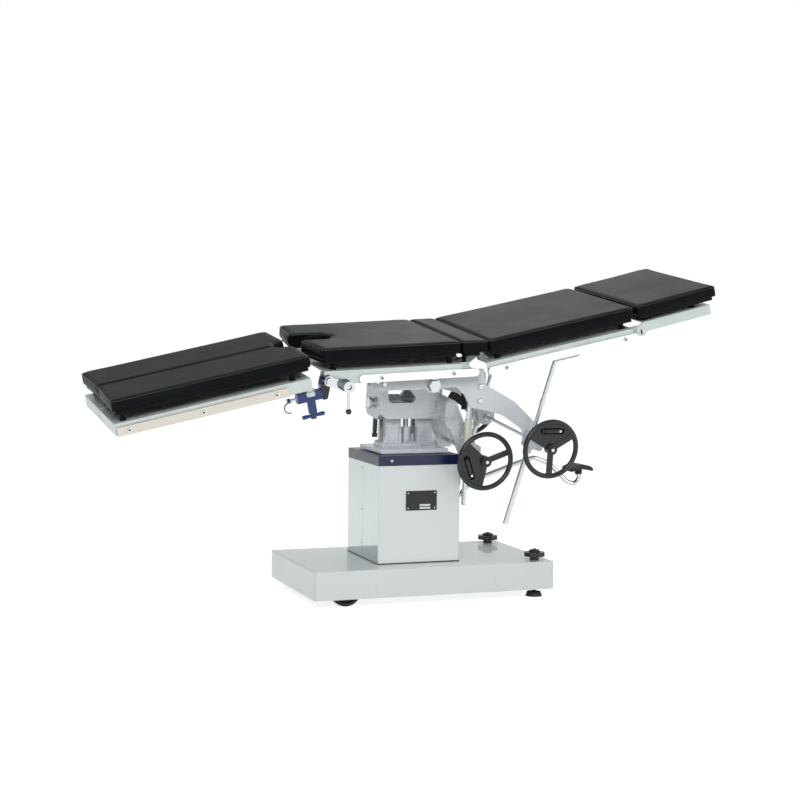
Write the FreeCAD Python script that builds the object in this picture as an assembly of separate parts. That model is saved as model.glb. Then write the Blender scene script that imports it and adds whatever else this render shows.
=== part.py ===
import FreeCAD, Part
import math
import os
from FreeCAD import Placement, Rotation, Vector

# Operating table on a hydraulic column, millimetres, +Z up, floor at z = 0, head end towards +X.
# The near side is -Y. Everything above the column is drawn level in its own frame and then placed.

# base
base_x0 = -373.0
base_len = 805.0
base_w = 474.0
base_z = 28.0
base_h = 89.0
base_wall = 2.5
base_corner_r = 8.0
rail_tube = 40.0
base_top = base_z + base_h
side_screw_x = (base_x0 + 204.0, base_x0 + base_len - 202.0)
side_screw_z = 66.0

# wheels and brakes
wheel_r = 50.0
wheel_w = 26.0
wheel_x = base_x0 + 114.0
wheel_y = base_w / 2 - 47.0
wheel_axle_r = 6.0
brake_x = base_x0 + base_len - 49.0
brake_y = base_w / 2 - 47.0
foot_r = 27.0
foot_h = 14.0
stem_r = 7.0
foot_travel = 12.0
knob_r = 35.0
knob_h = 13.0
knob_gap = 12.0
run_clear = 0.05

# column
cover_lx = 273.0
cover_ly = 296.0
cover_z0 = base_top + 3.0
cover_z1 = 428.0
cover_wall = 2.0
cap_h = 31.0
cap_out = 1.5
inner_lx = cover_lx - 67.0
inner_ly = cover_ly - 96.0
inner_wall = 6.0
inner_z0 = 140.0
slide_gap = 0.4
lift_travel = 250.0
plate_gap = 3.0
head_plate_lx = cover_lx - 44.0
head_plate_ly = cover_ly - 87.0
head_plate_t = 13.0
name_w = 104.0
name_h = 62.0
name_x = 6.0
name_z = 316.0

# pump pedal
pedal_pivot = Vector(cover_lx / 2 - 16.5, 0.0, cover_z0 + 184.0)
pedal_tube_r = 7.5
pedal_pivot_r = 5.0
pedal_path = (
    (215, 330), (275, 366), (416, 414), (463, 427), (520, 405),
    (586, 342), (612, 333), (633, 352), (624, 381),
)
pedal_travel_deg = 25.0

# fork and cradle
tilt_axis_z = 617.0
lateral_deg = 6.9
pin_r = 14.0
fork_left_x = (-77.0, -21.0)
fork_right_x = (32.0, 84.0)
fork_half_y = 35.0
fork_top_half_y = 27.0
cradle_x = (-108.0, 104.0)
cradle_half_y = 65.0
cheek_t = 18.0
cradle_z = (-42.0, 10.0)
horn_z = 85.0
axle_r = 12.0
pitch_boss_r = 34.0

# seat frame, origin in the pad's top plane above the column
seat_height = 231.0
pitch_deg = 2.8
pad_w = 480.0
pad_t = 37.0
board_t = 10.0
post_h = 23.0
tray_t = 2.5
seat_x = (-382.0, 85.0)
seat_tray_x = (seat_x[0] + 25.0, seat_x[1] + 7.0)
tray_half = pad_w / 2 - 8.0
skirt_h = 39.5
skirt_t = 3.0
rail_h = 25.0
rail_t = 8.0
rail_gap = 6.0
seat_rail_x = (seat_tray_x[0] + 109.0, seat_tray_x[1] + 54.0)
seat_rail_z = -85.0
pitch_s = Vector(14.0, 0.0, -142.0)
plate_y = (tray_half - 48.0, tray_half - 38.0)
hinge_y = plate_y[0] - 33.0
cut_x = 118.0
cut_half = 58.0

# pitch drive, carried by the cradle
pitch_shaft_c = Vector(192.0, 0.0, -146.0)
pitch_screw_x = pitch_shaft_c.x - 16.0
pitch_screw_y = plate_y[0] - 60.0
pitch_screw_r = 7.5
pitch_screw_low = -313.0
shaft_r = 7.0
pitch_wheel_y = -tray_half - 9.0
pitch_guard_top = -34.0
arm_y = (pitch_screw_y - 32.0, pitch_screw_y - 18.0)
guard_r = 12.5

# kidney bridge
kidney_x = (seat_x[1] + 11.5, seat_x[1] + 88.7)
kidney_post_x = seat_x[1] + 39.0
kidney_post_y = plate_y[0] - 12.0
kidney_post_r = 7.0
kidney_travel = 110.0
kidney_board_x = (seat_x[1] + 19.0, seat_x[1] + 69.0)

# back section, origin at its hinge pin
back_pivot_s = Vector(seat_x[1] + 92.7, 0.0, -46.0)
back_deg = 9.4
back_len = 506.0
back_x = (11.5, 11.5 + back_len)
back_pad_top = 44.7
back_tray_x = (-6.0, back_x[1] - 9.5)
back_rail_x = (-8.0, back_x[1] + 0.5)
back_rail_z = -39.0
hinge_r = 8.0
hinge_pin_r = 4.0

# head section, origin at its hinge pin
head_pivot_b = Vector(back_x[1] + 18.5, 0.0, -41.0)
head_deg = 1.6
head_len = 290.0
head_x = (-4.0, -4.0 + head_len)
head_pad_top = 86.0
head_pad_t = 35.0
head_tray_x = (-14.0, head_x[1] - 28.0)
head_tray_top = 28.0
head_skirt_h = 32.0

# leg sections, origin at the fold pin
leg_pivot_s = Vector(seat_tray_x[0] + 9.0, 0.0, -96.0)
leg_deg = 9.7
leg_len = 620.0
leg_x = (-38.0 - leg_len, -38.0)
leg_pad_top = 87.9
leg_tray_x = (leg_x[0] - 1.0, leg_x[1] - 11.0)
leg_tray_top = 16.5
leg_skirt_h = 36.5
leg_rail_x = (leg_tray_x[0] + 4.0, leg_tray_x[1] - 75.0)
leg_rail_z = 7.0
leg_gap = 3.0
fold_pin_r = 8.0
swing_x = leg_tray_x[1] - 7.0
swing_y = -tray_half + 17.0
swing_pin_r = 7.0
clamp_stem_r = 7.0
lock_y = (-tray_half + 5.0, -tray_half + 31.0)
barrel_r = 13.5
barrel_low = -94.0

# back drive, carried by the seat's side plates
back_shaft_s = Vector(357.0, 0.0, -340.0)
back_lean_deg = 17.2
back_rod_x = -15.8
back_rod_y = plate_y[1] + 19.0
back_rod_r = 7.0
back_sleeve_r = 8.5
back_sleeve_low = 282.0
back_rod_up = 290.0
back_wheel_y = tray_half + 99.0
box_half = 26.0

# handwheels
hand_r = 95.0
rim_r = 8.0
spoke_w = 17.0
hub_r = 17.0
grip_r = 8.5
grip_len = 62.0
grip_at = 58.0

ORIGIN = Vector(0, 0, 0)
X = Vector(1, 0, 0)
Y = Vector(0, 1, 0)
Z = Vector(0, 0, 1)

cradle_frame = Placement(Vector(0, 0, tilt_axis_z), Rotation(X, lateral_deg))
seat_in_cradle = Placement(Vector(0, 0, seat_height), Rotation(ORIGIN.sub(Y), pitch_deg))
seat_frame_at = cradle_frame.multiply(seat_in_cradle)
pitch_c = seat_in_cradle.multVec(pitch_s)
back_frame_at = seat_frame_at.multiply(Placement(back_pivot_s, Rotation(ORIGIN.sub(Y), back_deg)))
head_frame_at = back_frame_at.multiply(Placement(head_pivot_b, Rotation(ORIGIN.sub(Y), head_deg)))
leg_frame_at = seat_frame_at.multiply(Placement(leg_pivot_s, Rotation(ORIGIN.sub(Y), leg_deg)))
drive_frame_at = seat_frame_at.multiply(Placement(back_shaft_s, Rotation(Y, back_lean_deg)))


def box(x0, x1, y0, y1, z0, z1):
    return Part.makeBox(x1 - x0, y1 - y0, z1 - z0, Vector(x0, y0, z0))


def cyl(at, axis, radius, length):
    return Part.makeCylinder(radius, length, at, axis)


def rod_y(x, z, radius, y0, y1):
    return cyl(Vector(x, y0, z), Y, radius, y1 - y0)


def rod_z(x, y, radius, z0, z1):
    return cyl(Vector(x, y, z0), Z, radius, z1 - z0)


def far_copy(shape):
    return shape.mirror(ORIGIN, Y)


def both_sides(shape):
    return [shape, far_copy(shape)]


def fuse(shapes):
    shapes = list(shapes)
    return shapes[0].fuse(shapes[1:]).removeSplitter() if len(shapes) > 1 else shapes[0]


def cut(shape, tools):
    return shape.cut(list(tools))


def rounded_wire(corners):
    """Closed wire through (point, radius) corners, each radius kept within its two runs."""
    edges = []
    count = len(corners)
    starts = []
    ends = []
    for i, (point, radius) in enumerate(corners):
        before = corners[i - 1][0].sub(point).normalize()
        after = corners[(i + 1) % count][0].sub(point).normalize()
        if radius <= 0:
            starts.append(point)
            ends.append(point)
            continue
        half = before.getAngle(after) / 2.0
        neighbours = (corners[i - 1][0], corners[(i + 1) % count][0])
        run = min(point.distanceToPoint(other) for other in neighbours)
        reach = min(radius / math.tan(half), 0.49 * run)
        radius = reach * math.tan(half)
        starts.append(point.add(before * reach))
        ends.append(point.add(after * reach))
        middle = before.add(after).normalize()
        mid = point.add(middle * (radius / math.sin(half) - radius))
        edges.append((i, Part.Arc(starts[i], mid, ends[i]).toShape()))
    arcs = dict(edges)
    path = []
    for i in range(count):
        if i in arcs:
            path.append(arcs[i])
        nxt = (i + 1) % count
        if ends[i].distanceToPoint(starts[nxt]) > 1e-6:
            path.append(Part.makeLine(ends[i], starts[nxt]))
    return Part.Wire(path)


def plate_xz(corners, y0, y1):
    """Plate whose outline is given as (x, z, radius), from y0 to y1."""
    wire = rounded_wire([(Vector(x, y0, z), r) for x, z, r in corners])
    return Part.Face(wire).extrude(Vector(0, y1 - y0, 0))


def plate_xy(corners, z0, z1):
    wire = rounded_wire([(Vector(x, y, z0), r) for x, y, r in corners])
    return Part.Face(wire).extrude(Vector(0, 0, z1 - z0))


def plate_yz(corners, x0, x1):
    wire = rounded_wire([(Vector(x0, y, z), r) for y, z, r in corners])
    return Part.Face(wire).extrude(Vector(x1 - x0, 0, 0))


def rounded_box(x0, x1, y0, y1, z0, z1, radius):
    return plate_xy([(x0, y0, radius), (x1, y0, radius), (x1, y1, radius), (x0, y1, radius)], z0, z1)


def slot_y(x, z, half_length, radius, y0, y1):
    corners = [
        (x - half_length - radius, z - radius, radius * 0.99),
        (x + half_length + radius, z - radius, radius * 0.99),
        (x + half_length + radius, z + radius, radius * 0.99),
        (x - half_length - radius, z + radius, radius * 0.99),
    ]
    return plate_xz(corners, y0, y1)


def soften(shape, radius, pick):
    edges = [e for e in shape.Edges if pick(e)]
    return shape.makeFillet(radius, edges) if edges else shape


def top_edges(z):
    return lambda e: abs(e.BoundBox.ZMin - z) < 0.01 and abs(e.BoundBox.ZMax - z) < 0.01


def swept_tube(points, radius, bend):
    """Tube along straight runs joined by tangent arcs in one plane."""
    corners = [Vector(*p) for p in points]
    edges = []
    start = corners[0]
    for i in range(1, len(corners) - 1):
        before = corners[i - 1].sub(corners[i]).normalize()
        after = corners[i + 1].sub(corners[i]).normalize()
        half = before.getAngle(after) / 2.0
        run = min(corners[i - 1].distanceToPoint(corners[i]), corners[i + 1].distanceToPoint(corners[i]))
        reach = min(bend / math.tan(half), 0.45 * run)
        arc_r = reach * math.tan(half)
        a = corners[i].add(before * reach)
        b = corners[i].add(after * reach)
        mid = corners[i].add(before.add(after).normalize() * (arc_r / math.sin(half) - arc_r))
        edges.append(Part.makeLine(start, a))
        edges.append(Part.Arc(a, mid, b).toShape())
        start = b
    edges.append(Part.makeLine(start, corners[-1]))
    spine = Part.Wire(edges)
    heading = corners[1].sub(corners[0])
    profile = Part.Wire(Part.makeCircle(radius, corners[0], heading))
    return spine.makePipeShell([profile], True, False)


def hex_head(at, axis, across, height):
    points = []
    turn = Rotation(Z, axis)
    for i in range(7):
        angle = math.radians(60 * i)
        local = Vector(math.cos(angle), math.sin(angle), 0) * (across / math.sqrt(3))
        points.append(at.add(turn.multVec(local)))
    return Part.Face(Part.makePolygon(points)).extrude(Vector(axis).normalize() * height)


def socket_screw(at, axis, radius, height):
    """Low round head with a hex socket, its back on the surface at the given point."""
    head = cyl(at, axis, radius, height)
    top = at.add(Vector(axis).normalize() * (height * 0.4))
    return cut(head, [hex_head(top, axis, radius * 0.9, height)])


# base and wheels

def base_cover():
    x1 = base_x0 + base_len
    half = base_w / 2
    outer = rounded_box(base_x0, x1, -half, half, base_z, base_top, base_corner_r)
    outer = soften(outer, base_corner_r / 2, top_edges(base_top))
    w = base_wall
    inner_r = base_corner_r - w
    inner = rounded_box(base_x0 + w, x1 - w, -half + w, half - w, base_z - 1, base_top - w, inner_r)
    holes = []
    for y in (-brake_y, brake_y):
        holes.append(rod_z(brake_x, y, stem_r + 2, base_top - 10, base_top + 1))
    return cut(outer, [inner] + holes)


def base_chassis():
    """Welded ladder frame under the cover that carries column, wheels and brake spindles."""
    gap = base_wall
    x0 = base_x0 + gap
    x1 = base_x0 + base_len - gap
    half = base_w / 2 - gap
    z1 = base_top - gap
    z0 = z1 - rail_tube
    parts = []
    for y in (-1, 1):
        inner = y * (half - rail_tube)
        outer = y * half
        y0, y1 = sorted((inner, outer))
        parts.append(box(x0 + base_corner_r, x1 - base_corner_r, y0, y1, z0, z1))
    px, py = cover_lx / 2 + 13.5, cover_ly / 2 + 2.0
    for x in (x0 + base_corner_r, -px, px - rail_tube, brake_x - 83.0, x1 - base_corner_r - rail_tube):
        parts.append(box(x, x + rail_tube, -half + 1, half - 1, z0, z1))
    parts.append(box(-px, px, -py, py, z1 - 8, z1))
    for y in (-brake_y, brake_y):
        parts.append(rod_z(brake_x, y, stem_r + 9, z0 - 6, z1))
    frame = fuse(parts)
    tools = []
    for y in (-brake_y, brake_y):
        tools.append(rod_z(brake_x, y, stem_r + run_clear, z0 - 10, z1 + 1))
        reach = wheel_r + 4
        beside = wheel_w / 2 + 9
        tools.append(box(wheel_x - reach, wheel_x + reach, y - beside, y + beside, z0 - 1, z1 - 8))
    frame = cut(frame, tools)
    hangers = []
    for y in (-wheel_y, wheel_y):
        for side in (-1, 1):
            inner = y + side * (wheel_w / 2 + 4)
            outer = y + side * (wheel_w / 2 + 8)
            low, high = min(inner, outer), max(inner, outer)
            outline = [
                (wheel_x - 30, z1 - 6, 0),
                (wheel_x - 11, wheel_r - 11, 9),
                (wheel_x + 11, wheel_r - 11, 9),
                (wheel_x + 30, z1 - 6, 0),
            ]
            hangers.append(plate_xz(outline, low, high))
        hangers.append(rod_y(wheel_x, wheel_r, wheel_axle_r, y - wheel_w / 2 - 10, y + wheel_w / 2 + 10))
    return fuse([frame] + hangers)


def fixed_wheel():
    """Solid tyre on a stepped rim with a bored hub."""
    half = wheel_w / 2
    profile = [
        (wheel_axle_r + run_clear, -half - 2, 0),
        (13, -half - 2, 0),
        (13, -half + 5, 2),
        (wheel_r - 14, -half + 5, 2),
        (wheel_r - 11, -half, 0),
        (wheel_r, -half, 5),
        (wheel_r, half, 5),
        (wheel_r - 11, half, 0),
        (wheel_r - 14, half - 5, 2),
        (13, half - 5, 2),
        (13, half + 2, 0),
        (wheel_axle_r + run_clear, half + 2, 0),
    ]
    wire = rounded_wire([(Vector(r, y, 0), f) for r, y, f in profile])
    wheel = Part.Face(wire).revolve(ORIGIN, Y, 360)
    wheel.translate(Vector(wheel_x, -wheel_y, wheel_r))
    return wheel


def brake_foot():
    """Rubber foot under a nut tube that the knob's screw raises and lowers."""
    foot = Part.makeCone(foot_r, foot_r - 5, foot_h, Vector(brake_x, -brake_y, 0), Z)
    tube = rod_z(brake_x, -brake_y, stem_r, foot_h - 1, base_top - base_wall - foot_travel - 4)
    bore = rod_z(brake_x, -brake_y, stem_r - 3, foot_h + 4, base_top)
    return cut(fuse([foot, tube]), [bore])


def brake_knob():
    """Two-tier lobed star knob on a collar, with its screw spindle."""
    z0 = base_top + knob_gap
    centre = Vector(brake_x, -brake_y, z0)
    disc = cyl(centre, Z, knob_r - 3, knob_h)
    lobes = []
    for i in range(8):
        angle = math.radians(45 * i)
        at = centre.add(Vector(math.cos(angle), math.sin(angle), 0) * (knob_r - 7))
        lobes.append(cyl(at, Z, 7, knob_h))
    body = soften(fuse([disc] + lobes), 1.5, top_edges(z0 + knob_h))
    cap = Part.makeCone(20, 15, 8, centre.add(Vector(0, 0, knob_h)), Z)
    collar = cyl(Vector(brake_x, -brake_y, base_top + 0.3), Z, 15, knob_gap - 0.3)
    screw = cyl(centre.add(Vector(0, 0, knob_h + 8)), Z, 5, 3)
    spindle = rod_z(brake_x, -brake_y, stem_r - 3 - run_clear, foot_h + foot_travel + 8, z0)
    return fuse([body, cap, collar, screw, spindle])


# column

def column_cover():
    hx, hy, w = cover_lx / 2, cover_ly / 2, cover_wall
    outer = rounded_box(-hx, hx, -hy, hy, cover_z0, cover_z1, 3)
    inner = rounded_box(-hx + w, hx - w, -hy + w, hy - w, cover_z0 - 1, cover_z1 + 1, 1)
    slot = box(hx - 8, hx + 1, -pedal_tube_r - 5, pedal_tube_r + 5, pedal_pivot.z - 24, pedal_pivot.z + 20)
    foot = rounded_box(-hx + w / 2, hx - w / 2, -hy + w / 2, hy - w / 2, base_top, cover_z0 + 6, 1)
    foot = cut(foot, [box(-hx + 7, hx - 7, -hy + 7, hy - 7, base_top - 1, cover_z0 + 7)])
    lugs = []
    for side in (-1, 1):
        y0 = side * 11 if side > 0 else -17
        lug = box(pedal_pivot.x - 9, hx - w, y0, y0 + 6, pedal_pivot.z - 9, pedal_pivot.z + 9)
        lugs.append(lug)
    pin = rod_y(pedal_pivot.x, pedal_pivot.z, pedal_pivot_r, -17, 17)
    return fuse([cut(outer, [inner, slot]), foot] + lugs + [pin])


def column_side_panels():
    """Polished skins on the two end faces, each in two halves that meet in a centre seam."""
    panels = []
    hx = cover_lx / 2
    for side in (-1, 1):
        x0 = side * hx if side > 0 else -hx - 1.2
        for half in (-1, 1):
            y0, y1 = (0.4, cover_ly / 2 - 2) if half > 0 else (-cover_ly / 2 + 2, -0.4)
            panels.append(box(x0, x0 + 1.2, y0, y1, cover_z0 + 2, cover_z1 - 1))
    slot = box(hx - 1, hx + 3, -pedal_tube_r - 5, pedal_tube_r + 5, pedal_pivot.z - 24, pedal_pivot.z + 20)
    return Part.makeCompound([cut(p, [slot]) for p in panels])


def column_cap():
    """Band and lid around the moving column, bored to guide it."""
    hx, hy = cover_lx / 2 + cap_out, cover_ly / 2 + cap_out
    z1 = cover_z1 + cap_h
    outer = soften(rounded_box(-hx, hx, -hy, hy, cover_z1, z1, 4), 1.5, top_edges(z1))
    hollow = box(-hx + 8, hx - 8, -hy + 8, hy - 8, cover_z1 - 1, z1 - 10)
    gx, gy = inner_lx / 2 + slide_gap, inner_ly / 2 + slide_gap
    return cut(outer, [hollow, box(-gx, gx, -gy, gy, cover_z1, z1 + 1)])


def nameplate():
    y = -cover_ly / 2
    x0, x1 = name_x - name_w / 2, name_x + name_w / 2
    z0, z1 = name_z - name_h / 2, name_z + name_h / 2
    plate = box(x0, x1, y - 1.2, y, z0, z1)
    rim = box(x0, x1, y - 1.8, y - 1, z0, z1)
    w, h = name_w / 2 - 3, name_h / 2 - 3
    rim = cut(rim, [box(name_x - w, name_x + w, y - 3, y, name_z - h, name_z + h)])
    return fuse([plate, rim])


def panel_screws():
    """Every small round-headed screw of the base, cap and column skins."""
    screws = []
    side = ORIGIN.sub(Y)
    for x in side_screw_x:
        for y, axis in ((-base_w / 2, side), (base_w / 2, Y)):
            screws.append(socket_screw(Vector(x, y, side_screw_z), axis, 5, 2))
    cap_y = cover_ly / 2 + cap_out
    for x in (-95.0, 112.0):
        for y, axis in ((-cap_y, side), (cap_y, Y)):
            screws.append(socket_screw(Vector(x, y, cover_z1 + cap_h / 2), axis, 4, 1.5))
    for z in (cover_z0 + 45, (cover_z0 + cover_z1) / 2, cover_z1 - 20):
        screws.append(socket_screw(Vector(-cover_lx / 2 - 1.2, 9, z), ORIGIN.sub(X), 3, 1.2))
    for dx in (-1, 1):
        for dz in (-1, 1):
            at = Vector(name_x + dx * (name_w / 2 - 7), -cover_ly / 2 - 1.2, name_z + dz * (name_h / 2 - 7))
            screws.append(cyl(at, side, 2, 1))
    return Part.makeCompound(screws)


def inner_column():
    hx, hy, w = inner_lx / 2, inner_ly / 2, inner_wall
    top = cover_z1 + cap_h + plate_gap
    tube = box(-hx, hx, -hy, hy, inner_z0, top)
    return cut(tube, [box(-hx + w, hx - w, -hy + w, hy - w, inner_z0 - 1, top - w)])


def head_plate():
    z0 = cover_z1 + cap_h + plate_gap
    hx, hy = head_plate_lx / 2, head_plate_ly / 2
    plate = rounded_box(-hx, hx, -hy, hy, z0, z0 + head_plate_t, 6)
    return soften(plate, 1.5, top_edges(z0 + head_plate_t))


def fork_upright(x0, x1):
    z0 = cover_z1 + cap_h + plate_gap + head_plate_t
    low, high = fork_half_y, fork_top_half_y
    top = tilt_axis_z + high
    outline = [
        (-low, z0, 0),
        (low, z0, 0),
        (low, z0 + 40, 20),
        (high, tilt_axis_z - 50, 20),
        (high, top, high * 0.98),
        (-high, top, high * 0.98),
        (-high, tilt_axis_z - 50, 20),
        (-low, z0 + 40, 20),
    ]
    upright = plate_yz(outline, x0, x1)
    recess = [
        (-high + 9, z0 + 16, 6),
        (high - 9, z0 + 16, 6),
        (high - 9, tilt_axis_z - pin_r - 16, 6),
        (-high + 9, tilt_axis_z - pin_r - 16, 6),
    ]
    pocket = (x1 - x0) * 0.32
    front = [
        (x0 + 9, z0 + 18, 5),
        (x1 - 9, z0 + 18, 5),
        (x1 - 9, tilt_axis_z - 52, 5),
        (x0 + 9, tilt_axis_z - 52, 5),
    ]
    tools = [plate_yz(recess, x0 - 1, x0 + pocket), plate_yz(recess, x1 - pocket, x1 + 1)]
    tools.append(plate_xz(front, -low - 1, -low + 5))
    return cut(upright, tools)


def fork():
    """Cast fork with two uprights, a hydraulic boss between them and hex bolts on its foot."""
    z0 = cover_z1 + cap_h + plate_gap + head_plate_t
    foot = rounded_box(fork_left_x[0] - 12, fork_right_x[1] + 12, -44, 44, z0, z0 + 12, 8)
    parts = [foot, fork_upright(*fork_left_x), fork_upright(*fork_right_x)]
    middle = (fork_left_x[1] + fork_right_x[0]) / 2
    parts.append(rod_z(middle, 0, 19, z0, z0 + 62))
    parts.append(rod_z(middle, 0, 9, z0 + 60, z0 + 92))
    parts.append(box(fork_left_x[1] - 1, fork_right_x[0] + 1, -8, 8, z0 + 10, z0 + 40))
    casting = fuse(parts)
    bolts = []
    for x in (fork_left_x[0] - 4, fork_right_x[1] + 4, middle):
        for y in (-38, 38):
            bolts.append(hex_head(Vector(x, y, z0 + 11.5), Z, 9 if x != middle else 13, 7))
    bore = cyl(Vector(cradle_x[0] - 30, 0, tilt_axis_z), X, pin_r + run_clear, 300)
    return cut(fuse([casting] + bolts), [bore])


def tilt_pin():
    x0, x1 = cradle_x[0] - 8, cradle_x[1] + 6
    pin = cyl(Vector(x0, 0, tilt_axis_z), X, pin_r, x1 - x0)
    nut = hex_head(Vector(x0 - 7, 0, tilt_axis_z), X, 34, 7)
    return fuse([pin, nut])


# cradle, drawn about its tilt axis

def cradle_cheek():
    x0, x1 = cradle_x
    px, pz = pitch_c.x, pitch_c.z
    outline = [
        (x0, cradle_z[0] + 20, 6),
        (x0 + 26, cradle_z[0], 10),
        (x1 - 8, cradle_z[0], 6),
        (x1, cradle_z[0] + 10, 6),
        (x1, 26, 24),
        (px + pitch_boss_r + 6, pz - 6, 14),
        (px + pitch_boss_r - 4, pz + pitch_boss_r, 22),
        (px - pitch_boss_r, pz + pitch_boss_r, 30),
        (px - pitch_boss_r, pz - 30, 20),
        (px - 4, cradle_z[1] + 14, 20),
        (px - 16, cradle_z[1], 10),
        (x0 + 30, cradle_z[1], 18),
        (x0 + 24, horn_z, 9),
        (x0, horn_z, 9),
    ]
    cheek = plate_xz(outline, -cradle_half_y, -cradle_half_y + cheek_t)
    rim = [
        (x1 - 38, cradle_z[0] + 12, 10),
        (x1 - 13, cradle_z[0] + 18, 8),
        (x1 - 13, 14, 12),
        (x1 - 42, 30, 10),
    ]
    return cut(cheek, [plate_xz(rim, -cradle_half_y - 1, -cradle_half_y + 7)])


def cradle_arm():
    """Cast arm from the cradle's end beam down to a pitch gearbox."""
    sx, sz = pitch_shaft_c.x, pitch_shaft_c.z
    outline = [
        (cradle_x[1], 26, 4),
        (cradle_x[1] + 34, 22, 14),
        (sx - 4, sz + 54, 20),
        (sx + 20, sz + 34, 8),
        (sx + 20, sz - 26, 8),
        (sx - 26, sz - 26, 8),
        (sx - 42, sz + 12, 30),
        (cradle_x[1], -38, 4),
    ]
    arm = plate_xz(outline, -arm_y[1], -arm_y[0])
    pocket = [
        (cradle_x[1] + 14, 8, 8),
        (cradle_x[1] + 34, 4, 8),
        (sx - 20, sz + 52, 8),
        (sx - 34, sz + 40, 8),
        (cradle_x[1] + 14, -22, 8),
    ]
    return cut(arm, [plate_xz(pocket, -arm_y[1] - 1, -arm_y[1] + 5)])


def cradle():
    x0, x1 = cradle_x
    half = cradle_half_y
    end = [
        (-half, cradle_z[0] + 14, 10),
        (-half + 18, cradle_z[0] - 4, 12),
        (half - 18, cradle_z[0] - 4, 12),
        (half, cradle_z[0] + 14, 10),
        (half, 34, 14),
        (26, 56, 18),
        (-26, 56, 18),
        (-half, 34, 14),
    ]
    parts = both_sides(cradle_cheek())
    parts.append(plate_yz(end, x0, x0 + 16))
    low_end = [(y, min(z, 30), r if z < 30 else 6) for y, z, r in end[:5]]
    parts.append(plate_yz(low_end + [(-half, 30, 6)], x1 - 16, x1))
    parts.append(box(x1 - 2, x1 + 30, -arm_y[1], arm_y[1], -34, 22))
    parts.extend(both_sides(cradle_arm()))
    body = fuse(parts)
    holes = [cyl(Vector(x0 - 40, 0, 0), X, pin_r + run_clear, 400)]
    holes.append(rod_y(pitch_c.x, pitch_c.z, axle_r + run_clear, -300, 300))
    holes.append(rod_y(pitch_shaft_c.x, pitch_shaft_c.z, shaft_r + run_clear, -300, 300))
    return cut(body, holes)


def tilt_buffer():
    """Ribbed boot and end cap under the cradle's foot end."""
    x = cradle_x[0] + 12
    z = cradle_z[0] - 4
    parts = [rod_z(x, 0, 6.5, z - 56, z)]
    for i in range(5):
        parts.append(rod_z(x, 0, 8, z - 10 - 9 * i, z - 5 - 9 * i))
    parts.append(rod_z(x, 0, 9, z - 66, z - 54))
    return fuse(parts)


def pitch_axle():
    y = plate_y[1]
    axle = rod_y(pitch_c.x, pitch_c.z, axle_r, -y - 1, y + 1)
    parts = [axle]
    for side in (-1, 1):
        at = Vector(pitch_c.x, side * y, pitch_c.z)
        axis = Y * side
        parts.append(cyl(at.add(axis * 0.3), axis, 22, 3))
        parts.append(hex_head(at.add(axis * 3), axis, 34, 11))
        inner = cradle_half_y + 0.3
        low, high = sorted((side * inner, side * (plate_y[0] - 0.3)))
        parts.append(rod_y(pitch_c.x, pitch_c.z, axle_r + 6, low, high))
    return fuse(parts)


def pitch_gearboxes():
    """Housings at the arm ends, each with a guard tube around its lifting screw."""
    sx, sz = pitch_shaft_c.x, pitch_shaft_c.z
    y0, y1 = -pitch_screw_y - 40, -arm_y[1]
    body = rounded_box(pitch_screw_x - 20, sx + 18, y0, y1, sz - 28, sz + 30, 6)
    body = soften(body, 3, top_edges(sz + 30))
    neck = rod_z(pitch_screw_x, -pitch_screw_y, guard_r + 4, sz + 29, sz + 38)
    guard = rod_z(pitch_screw_x, -pitch_screw_y, guard_r, sz + 29, pitch_guard_top)
    flange = rod_y(sx, sz, 17, y0 - 6, y0 + 1)
    bolts = []
    for dx in (-1, 1):
        for dz in (-1, 1):
            at = Vector(sx - 10 + dx * 21, y0, sz + dz * 21)
            bolts.append(hex_head(at, ORIGIN.sub(Y), 7, 3))
    tools = [rod_z(pitch_screw_x, -pitch_screw_y, pitch_screw_r + run_clear, sz - 40, pitch_guard_top + 1)]
    tools.append(rod_y(sx, sz, shaft_r + run_clear, y0 - 10, y1 + 10))
    one = cut(fuse([body, neck, guard, flange] + bolts), tools)
    return Part.makeCompound(both_sides(one))


def pitch_screws():
    """Lifting screws with a head that carries a cross pin in the seat's slotted lugs."""
    at = pitch_c.z
    x, y = pitch_screw_x, -pitch_screw_y
    rod = rod_z(x, y, pitch_screw_r, pitch_screw_low, at)
    head = box(x - 11, x + 11, y - 6, y + 6, at - 12, at + 11)
    pin = rod_y(x, at, 6, y - 15, y + 15)
    tip = Part.makeCone(pitch_screw_r, pitch_screw_r - 2, 3, Vector(x, y, pitch_screw_low), Z * -1)
    return Part.makeCompound(both_sides(fuse([rod, head, pin, tip])))


def pitch_shaft():
    sx, sz = pitch_shaft_c.x, pitch_shaft_c.z
    shaft = rod_y(sx, sz, shaft_r, pitch_wheel_y + 12, pitch_screw_y + 52)
    nut = hex_head(Vector(sx, pitch_screw_y + 47, sz), Y, 20, 8)
    collar = rod_y(sx, sz, 12, -pitch_screw_y - 60, -pitch_screw_y - 48)
    return fuse([shaft, nut, collar])


# handwheels, drawn around the origin with the face towards -Y

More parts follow.
